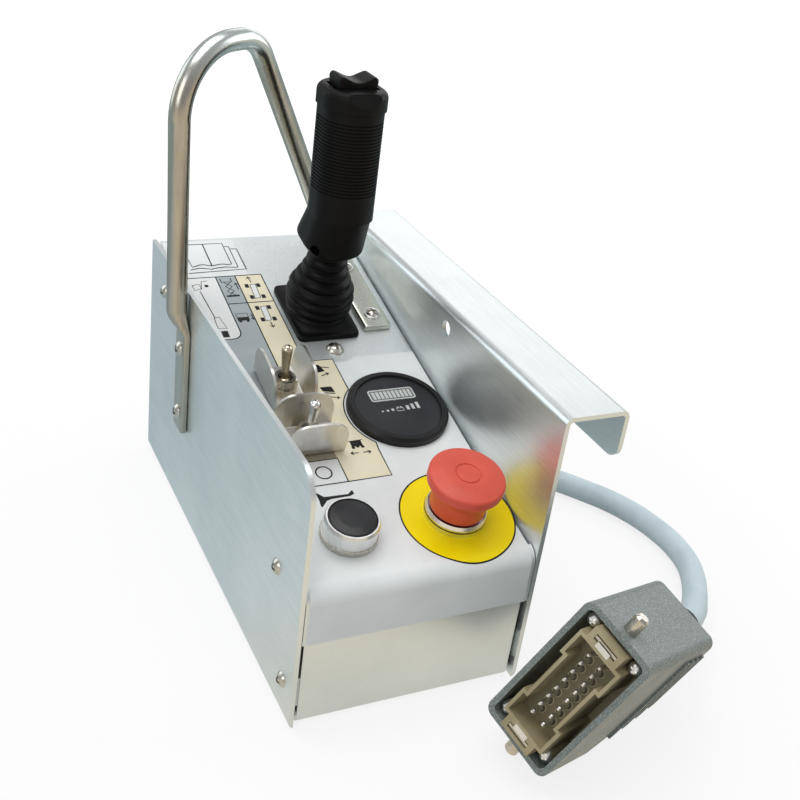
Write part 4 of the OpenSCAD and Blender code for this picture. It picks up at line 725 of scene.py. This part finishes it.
def rocker_rings(outline):
    """The outline p drawn in towards its middle m: m + (p - m) (1 - inset / half).

    Over each end, inset and place along y follow a quarter circle: e (1 - sin t) and e (1 - cos t).
    """
    t = np.linspace(0, np.pi / 2, 7)
    opening, closing = EDGE * (1 - np.sin(t)), EDGE * (1 - np.cos(t))
    inset = np.concatenate([opening, closing])[:, None, None]
    along = np.concatenate([-ROCKER_D / 2 + closing, ROCKER_D / 2 - opening])[:, None]
    middle = np.array([0.0, 3.0])
    drawn_in = middle + (outline - middle) * (1 - inset / LOBE_HALF)
    return np.stack([drawn_in[..., 0], along + 0 * drawn_in[..., 0], drawn_in[..., 1]], -1) + ROCKER_AT


rocker = mesh_piece("rocker_cap", *capped(rocker_rings(lobe_outline) * MM), "steer_rocker", "grip", grip_finish)
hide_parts("steer_rocker")
print("rocker", len(rocker.data.polygons), "faces")

# %% [markdown]
# ## Print on the panel
# The film is screen printed: pale zones first, then black lines and symbols. A picture could carry it, but
# strips of ink drawn as thin surfaces stay sharp at any distance. Each ink that overlaps another lies at least
# five thousandths of a millimetre above it, and all follow the film round the bend of the front lip.

# %% Ink strokes
LIP_U, LIP_R, ARROW_W = 7.1, 9.0, 0.7
ZONE_H, GUARD_SHADE_H, WHITE_H, EDGE_H, LINES_H = FILM_T + np.array([0.02, 0.025, 0.03, 0.04, 0.05])


def on_film(x, u, h):
    """The panel's places, rolled over the lip: below u0, angle (u0 - u) / r about a centre r under the face."""
    x, u, h = np.broadcast_arrays(*(np.asarray(v, float) for v in (x, u, h)))
    a = np.maximum(LIP_U - u, 0) / LIP_R
    bent = a > 0
    return on_panel(x, np.where(bent, LIP_U - (LIP_R + h) * np.sin(a), u),
                    np.where(bent, (LIP_R + h) * np.cos(a) - LIP_R, h))


def line(*points, width=0.75):
    """Two edges half a width either side of a line through the points, as an (n, 2, 2) grid."""
    p = np.asarray(points, float)
    ahead = headings(p)
    side = np.stack([-ahead[:, 1], ahead[:, 0]], -1) * width / 2
    return np.stack([p + side, p - side], 1)


def arc(centre, radius, start, end, steps=33):
    """Points on a circle between two angles in degrees: c + r (cos a, sin a)."""
    a = np.radians(np.linspace(start, end, steps))
    return np.asarray(centre) + radius * np.stack([np.cos(a), np.sin(a)], -1)


def block(x0, u0, x1, u1):
    """Corners of an upright rectangle."""
    return np.array([[x0, u0], [x1, u0], [x1, u1], [x0, u1]], float)


def frame_of(corners, width=0.55):
    """The outline of a patch as one line that runs past its start."""
    p = np.asarray(corners, float)
    return line(*p, *p[:1], p[0] + 0.01 * (p[1] - p[0]), width=width)


def arrow(tail, tip, head=2.0):
    """A shaft and the two barbs of its head."""
    tail, tip = np.asarray(tail, float), np.asarray(tip, float)
    back = unit(tail - tip) * head
    side = np.array([-back[1], back[0]]) * 0.75
    barbs = (tip + back + side, tip, tip + back - side)
    return [line(tail, tip, width=ARROW_W), line(*barbs, width=ARROW_W)]


print("strokes ready")

# %% Ink layers and colours
def ink(name, shapes, h, finish, slot="film"):
    """One layer of ink: grids become strips of quads, outlines become single faces."""
    points, faces, count = [], [], 0
    for shape in shapes:
        flat = shape.reshape(-1, 2)
        strip = shape.ndim == 3
        quads = grid_quads(*shape.shape[:2], False) if strip else np.arange(len(flat))[None]
        faces += (quads + count).tolist()
        points.append(flat)
        count += len(flat)
    flat = np.concatenate(points)
    return mesh_piece(name, on_film(flat[:, 0], flat[:, 1], h), faces, "enclosure", slot, finish, smooth=False)


# Painted shade: the first ink is the brownish grey that the front toggle's guard casts on the film, not print.
guard_shade_ink = printed("guard_shade_ink", srgb(148, 142, 124), srgb(158, 152, 134))
grey_ink = printed("grey_ink", srgb(158, 168, 172), srgb(170, 179, 182))
cream_ink = printed("cream_ink", srgb(226, 219, 190), srgb(235, 228, 200))
white_ink = printed("white_ink", srgb(224, 227, 227), srgb(233, 235, 235))
black_ink = printed("black_ink", srgb(14, 15, 15), srgb(24, 25, 25), (0.36, 0.48), 0.25)
yellow_ink = printed("yellow_ink", srgb(244, 219, 0), srgb(253, 229, 0), (0.32, 0.44), 0.2)
print("ink colours ready")

# %% [markdown]
# ## Zones and symbols
# The grey zone belongs to the lift, the cream one to driving; the panel's symbols say which lever does what.
# They could be cut from one drawing; plain lines and blocks, each in its own list, are easier to move and to
# redraw: an open book for the manual, a vehicle seen from above with an arrow, a lift raised and lowered,
# a turning vehicle, a horn.

# %% Zones of colour
ZONE_TOP, ZONE_LOW, ZONE_LEFT, ZONE_SPLIT = 246.7, 84.5, -61.5, -25.0
CREAM_X, WHITE_X, WHITE_LOW, GUARD_SHADE_TOP = -8.2, -37.3, 187.6, 92.0
RING_LEFT, RING_RIGHT, RING_LOW = -36.5, -16.7, 67.2
cream_edge = np.concatenate([[[CREAM_X, ZONE_TOP], [CREAM_X, 162.5], [9.2, 162.5], [9.2, 137.2]],
                             arc(GAUGE, 30.5, 134, 225), [[8.5, 86.0], [8.4, 67.4], [RING_RIGHT, RING_LOW]]])
cream_zone = np.concatenate([[[ZONE_SPLIT, ZONE_TOP]], cream_edge,
                             [[-16.5, ZONE_LOW], [ZONE_SPLIT, ZONE_LOW]]])
grey_zone = block(ZONE_LEFT, ZONE_LOW, ZONE_SPLIT, ZONE_TOP)
# Painted shade: this patch below the front toggle's guard stands in for the guard's shadow.
guard_shade_patch = block(RING_LEFT, ZONE_LOW, -16.6, GUARD_SHADE_TOP)
white_corner = arc((-43.3, 193.6), 6, 270, 360, 9)
white_zone = np.concatenate([[[ZONE_LEFT, ZONE_TOP], [ZONE_LEFT, WHITE_LOW]], white_corner,
                             [[WHITE_X, ZONE_TOP]]])
ink("zone_grey", [grey_zone], ZONE_H, grey_ink)
ink("zone_cream", [cream_zone], ZONE_H, cream_ink)
ink("painted_guard_shade", [guard_shade_patch], GUARD_SHADE_H, guard_shade_ink)

SECOND_VEHICLE = np.array([0.1, 21.8])
wheels = [block(x, u, x + 2.5, u + 3.6) for x in (-21.7, -14.4) for u in (223.0, 234.1)]
wheels += [w - SECOND_VEHICLE for w in wheels]
bodies = [np.array([[-18.9, 223.4], [-15.3, 223.8], [-14.7, 237.2], [-18.2, 236.9]])]
bodies += [bodies[0] - SECOND_VEHICLE]
ring_box = block(RING_LEFT, RING_LOW, RING_RIGHT, ZONE_LOW)
ink("zone_white", [white_zone, ring_box, *bodies], WHITE_H, white_ink)
print("zones printed")

# %% Pictograms and outlines
def page_edge(start, end, u, lift):
    """Nine points of a page's edge, bulging by lift: u + lift sin(s) ** 1.5."""
    x = np.linspace(start, end, 9)
    return np.stack([x, u + lift * np.sin(np.linspace(0, np.pi, len(x))) ** 1.5], -1)


book = [
    line((-50.5, 281), (-48.7, 257.6), *page_edge(-47.5, -37, 258.2, 1.6), (-36.2, 258),
         *page_edge(-35, -24.6, 258.4, 0.9), (-23.4, 258.9), (-23.4, 281), (-50.5, 281)),
    line((-36.1, 281), (-36.2, 258)),
    line((-22.9, 277.3), (-20.1, 277), (-20.2, 255.4), *page_edge(-21.5, -36, 255.2, 0.9),
         (-37.1, 254.6), *page_edge(-38.5, -50.5, 255, 1.3)),
    line((-19.6, 274.5), (-15.6, 274.2), (-15.5, 252.9), (-52.4, 251.8)),
]
crossing = ((-33.8, -29.6), (-29.6, -33.8))
lattice = [line((x, u), (x2, u - 4.4), width=0.5) for u in (240.8, 236.4, 232.0) for x, x2 in crossing]
raised = [*lattice, line((-35.2, 244.6), (-35, 241), (-28.6, 241), (-28.6, 244.4), width=0.7),
          block(-35.6, 226.4, -27.6, 228.0), *arrow((-26.6, 233), (-26.6, 239.5), 1.6)]
lowered = [frame_of(block(-35.4, 206.4, -28.4, 210.1)), block(-35.6, 203.4, -28.4, 206.2),
           block(-35.2, 202.0, -33.4, 203.6), block(-30.6, 202.0, -28.8, 203.6),
           *arrow((-26, 209), (-26, 203.6), 1.6)]
boom = [frame_of(np.array([[-53.8, 239.6], [-49.4, 240.8], [-48.8, 236.2], [-53.4, 234.6]])),
        line((-50.5, 233.8), (-48.6, 208), width=0.6),
        line((-49.4, 235), (-47.2, 243), (-43.6, 243.2), width=0.5),
        arc((-45.2, 238.4), 1.3, 0, 360, 17)[:-1],
        line((-49.2, 207.4), (-45.8, 208.4), (-44.2, 197.4), (-49.4, 197.8), (-49.2, 207.4), width=0.5),
        block(-48.6, 189.6, -44.6, 195.4)]
driving = [*wheels, *(frame_of(b) for b in bodies), *arrow((-16.7, 239.2), (-17.4, 244.9)),
           *arrow((-16.7, 200.4), (-16.4, 195.2))]
steering = [np.array([[-4.4, 152.0], [-2.8, 159.2], [-1.0, 158.6], [1.0, 153.0]]),
            line((-1.6, 157), (4.4, 155.4)), *arrow((-2.4, 149.2), (2.4, 150.9), 1.5),
            np.array([[-7.0, 139.9], [0.0, 139.7], [0.6, 134.6], [-6.2, 136.4]]),
            line((-6.6, 135.4), (0.4, 133.6), width=0.8), *arrow((-3.7, 131.4), (1.8, 129.7), 1.5)]
travel = [block(-5.6, 91.2, 0.9, 95.3), line((-6.3, 95.4), (1.8, 95.6), width=0.6),
          block(-5.9, 89.6, -4.1, 91.4), block(-0.5, 89.6, 1.3, 91.4), block(-3.2, 90.2, -1.4, 91.4),
          *arrow((-3.6, 86.4), (-8.0, 86.6), 1.6), *arrow((-0.8, 86.3), (3.6, 86.2), 1.6)]
trumpet = [np.array([[-36.9, 63.2], [-33.4, 59.2], [-30.1, 59.0], [-20.2, 58.8], [-17.1, 61.1], [-16.8, 58.4],
                     [-19.7, 57.2], [-29.8, 57.1], [-32.8, 56.3], [-36.7, 52.4], [-37.1, 53.6], [-36.7, 57.0]])]
edges = [line(*cream_edge), line((ZONE_SPLIT, ZONE_TOP), (ZONE_SPLIT, GUARD_SHADE_TOP)),
         line((ZONE_LEFT, ZONE_TOP), (CREAM_X, ZONE_TOP)), line((WHITE_X, 219.7), (CREAM_X, 219.7)),
         line((WHITE_X, ZONE_TOP), *white_corner[::-1], (ZONE_LEFT, WHITE_LOW)),
         line((RING_LEFT, RING_LOW), (RING_RIGHT, RING_LOW)),
         line((RING_LEFT, ZONE_LOW), (-16.6, ZONE_LOW), (RING_RIGHT, RING_LOW)),
         line(*arc((-27.6, 75.6), 4.3, 0, 361, 41), width=0.85)]
ink("ink_lines", [*book, *raised, *lowered, *boom, *driving, *steering, *travel, *trumpet, *edges],
    LINES_H, black_ink)
print("symbols printed")

# %% [markdown]
# ## Warning disc and gauge face
# The disc under the emergency stop is plain yellow, so that the red head stands out. The gauge shows its
# charge as ten bars in a window, with a row of growing ticks under it. Both could be painted by a shader;
# as ink they are made with the tools at hand, and the disc's many rings let it bend over the lip.

# %% Yellow disc
DISC, DISC_R, DISC_HOLE = (32.0, 33.0), 31.0, 12.0
DISC_RINGS, DISC_SIDES = 24, 120
r, a = np.meshgrid(np.linspace(DISC_HOLE, DISC_R, DISC_RINGS), full_turn(DISC_SIDES), indexing="ij")
mesh_piece("stop_disc", on_film(DISC[0] + r * np.cos(a), DISC[1] + r * np.sin(a), ZONE_H),
           grid_quads(*r.shape), "enclosure", "film", yellow_ink)
ink("stop_disc_edge", [line(*arc(DISC, DISC_R, 0, 361, 181), width=0.9)], EDGE_H, black_ink)
print("disc of", 2 * DISC_R, "mm")

# %% Gauge window, bars and ticks
DIAL_H, BAR_LOW, BAR_TOP = 4.0, 121.2, 127.0
WINDOW_H, BARS_H = DIAL_H + 0.02, DIAL_H + 0.04
window = np.concatenate([arc((x, u), 1.3, start, start + 90, 7) for x, u, start in (
    (42.8, BAR_TOP, 0), (18.5, BAR_TOP, 90), (18.5, BAR_LOW, 180), (42.8, BAR_LOW, 270))])
bars = [block(x, BAR_LOW, x + 1.75, BAR_TOP) for x in np.linspace(18.7, 40.9, 10)]
ticks = [block(x, u, x + width, u + length) for x, u, width, length in (
    (19.4, 110.8, 1.2, 1.0), (22.5, 110.8, 1.4, 1.4), (25.6, 110.9, 1.6, 1.8),
    (35.0, 110.6, 1.8, 3.4), (38.2, 110.7, 1.8, 4.2), (41.4, 110.8, 1.9, 5.0))]
ticks += [block(x, 119.1, x + 0.5, 120.0) for x in (20.0, 25.0, 30.2, 35.2, 40.6)]
battery = [frame_of(block(28.9, 110.4, 33.0, 112.6), 0.4), block(29.4, 112.9, 30.5, 113.7),
           block(31.4, 112.9, 32.5, 113.7)]
lens_ink = printed("window_grey", srgb(96, 101, 100), srgb(108, 113, 112), (0.20, 0.30))
bar_ink = printed("bar_grey", srgb(186, 191, 188), srgb(200, 204, 202), (0.20, 0.30))
ink("dial_window", [window], WINDOW_H, lens_ink, slot="gauge_glass")
ink("dial_bars", [*bars, frame_of(window, 0.9), *ticks, *battery], BARS_H, bar_ink, slot="gauge_glass")
print("window and", len(bars), "bars")

# %% [markdown]
# ## White floor
# The portrait stands on white paper. Paper lit by lamps alone would come out grey, or the lamps would burn
# the metal out. So where the camera sees it, part of its light is an even glow that grows with distance: the
# paper reads as white and still keeps the shadow. Mirrors see a softer glow, warm in front and cool behind,
# like a room around the paper.

# %% Paper floor
PAPER_GREY, PAPER_GLOW, MIRROR_SHARE = (0.55, 0.55, 0.55, 1), 1.15, 0.85
GLOW_RISE = (0.3, 0.9, 0.7, 1.0)  # from and to in metres, low and high as a share
ROOM_TINTS = ((0.30, (0.98, 0.86, 0.66, 1)), (0.53, (0.60, 0.68, 0.70, 1)), (0.75, (0.38, 0.48, 0.51, 1)))
TINT_SHIFT, FLOOR_HALF, FLOOR_DROP = 0.55, 6, 0.0005
WHITE = (1, 1, 1, 1)


def blend_in(tree, below, share, colour, strength):
    """Mixes an even glow over a shader by a share; the colour is a socket or an RGBA tuple."""
    glow = tree.nodes.new("ShaderNodeEmission")
    glow.inputs["Strength"].default_value = strength
    if isinstance(colour, tuple):
        glow.inputs["Color"].default_value = colour
    else:
        tree.links.new(colour, glow.inputs["Color"])
    mix = tree.nodes.new("ShaderNodeMixShader")
    for value, socket in zip((share, below, glow.outputs[0]), mix.inputs):
        tree.links.new(value, socket)
    return mix.outputs[0]


paper = bpy.data.materials.new("white_paper")
paper.use_nodes = True
tree = paper.node_tree
tree.nodes.remove(tree.nodes["Principled BSDF"])
diffuse = tree.nodes.new("ShaderNodeBsdfDiffuse")
diffuse.inputs["Color"].default_value = PAPER_GREY
path = tree.nodes.new("ShaderNodeLightPath")
place = tree.nodes.new("ShaderNodeTexCoord").outputs["Object"]
split = tree.nodes.new("ShaderNodeSeparateXYZ")
tree.links.new(place, split.inputs[0])
away = tree.nodes.new("ShaderNodeVectorMath")
away.operation = "LENGTH"
tree.links.new(place, away.inputs[0])
far = map_range(tree, away.outputs["Value"], *GLOW_RISE)
tint = tree.nodes.new("ShaderNodeValToRGB")
tint.color_ramp.elements.new(0.5)
for stop, (position, colour) in zip(tint.color_ramp.elements, ROOM_TINTS):
    stop.position, stop.color = position, colour
tree.links.new(node_math(tree, "ADD", split.outputs["Y"], TINT_SHIFT), tint.inputs["Fac"])
mirror_share = node_math(tree, "MULTIPLY", path.outputs["Is Glossy Ray"], MIRROR_SHARE)
mirrored = blend_in(tree, diffuse.outputs[0], mirror_share, tint.outputs["Color"], 1.0)
camera_share = node_math(tree, "MULTIPLY", path.outputs["Is Camera Ray"], far)
seen = blend_in(tree, mirrored, camera_share, WHITE, PAPER_GLOW)
tree.links.new(seen, tree.nodes["Material Output"].inputs["Surface"])
floor_mesh = bpy.data.meshes.new("paper_floor")
signs = ((-1, -1), (1, -1), (1, 1), (-1, 1))
floor_mesh.from_pydata([(x * FLOOR_HALF, y * FLOOR_HALF, 0) for x, y in signs], [], [(0, 1, 2, 3)])
floor_mesh.materials.append(paper)
floor = bpy.data.objects.new("paper_floor", floor_mesh)
scene.collection.objects.link(floor)
floor.location.z = -FLOOR_DROP
print("floor", 2 * FLOOR_HALF, "m wide")

# %% [markdown]
# ## Sky and lamps
# Soft daylight comes from all sides, so an even sky is the ground of it. Small lamps would cut hard shadows
# and sharp glints; five large ones shape the box gently, and those behind brighten the edges of level faces.

# %% Sky and five soft lamps
SKY_LIGHT, SKY_SEEN = 0.47, 1.0
world = bpy.data.worlds.new("studio_sky")
scene.world = world
world.use_nodes = True
tree = world.node_tree
sky = tree.nodes["Background"]
path = tree.nodes.new("ShaderNodeLightPath")
level = map_range(tree, path.outputs["Is Camera Ray"], 0, 1, SKY_LIGHT, SKY_SEEN)
tree.links.new(level, sky.inputs["Strength"])
sky.inputs["Color"].default_value = WHITE


def soft_lamp(name, place, target, size, watts):
    """A square area lamp at a place, turned to a target."""
    lamp = bpy.data.objects.new(name, bpy.data.lights.new(name, "AREA"))
    lamp.data.shape, lamp.data.size, lamp.data.energy = "SQUARE", size, watts
    lamp.location = place
    lamp.rotation_euler = (Vector(target) - Vector(place)).to_track_quat("-Z", "Y").to_euler()
    scene.collection.objects.link(lamp)
    return lamp


soft_lamp("overhead", (-0.1, 0.1, 1.5), (0, 0, 0.1), 1.1, 10.0)
soft_lamp("from_left", (-1.2, -0.7, 0.9), (0, 0, 0.1), 0.9, 6.0)
soft_lamp("from_right", (1.25, 0.05, 0.7), (0, -0.05, 0.1), 0.8, 5.0)
soft_lamp("behind_right", (0.8, 1.18, 0.75), (0.05, 0, 0.15), 0.9, 2.2)
behind_left = soft_lamp("behind_left", (-0.9, 1.0, 0.6), (0, 0, 0.15), 0.9, 4.0)
behind_left.data.color = (0.86, 0.95, 1.0)
scene.view_settings.view_transform = "Standard"
print("sky and", len(bpy.data.lights), "lamps")
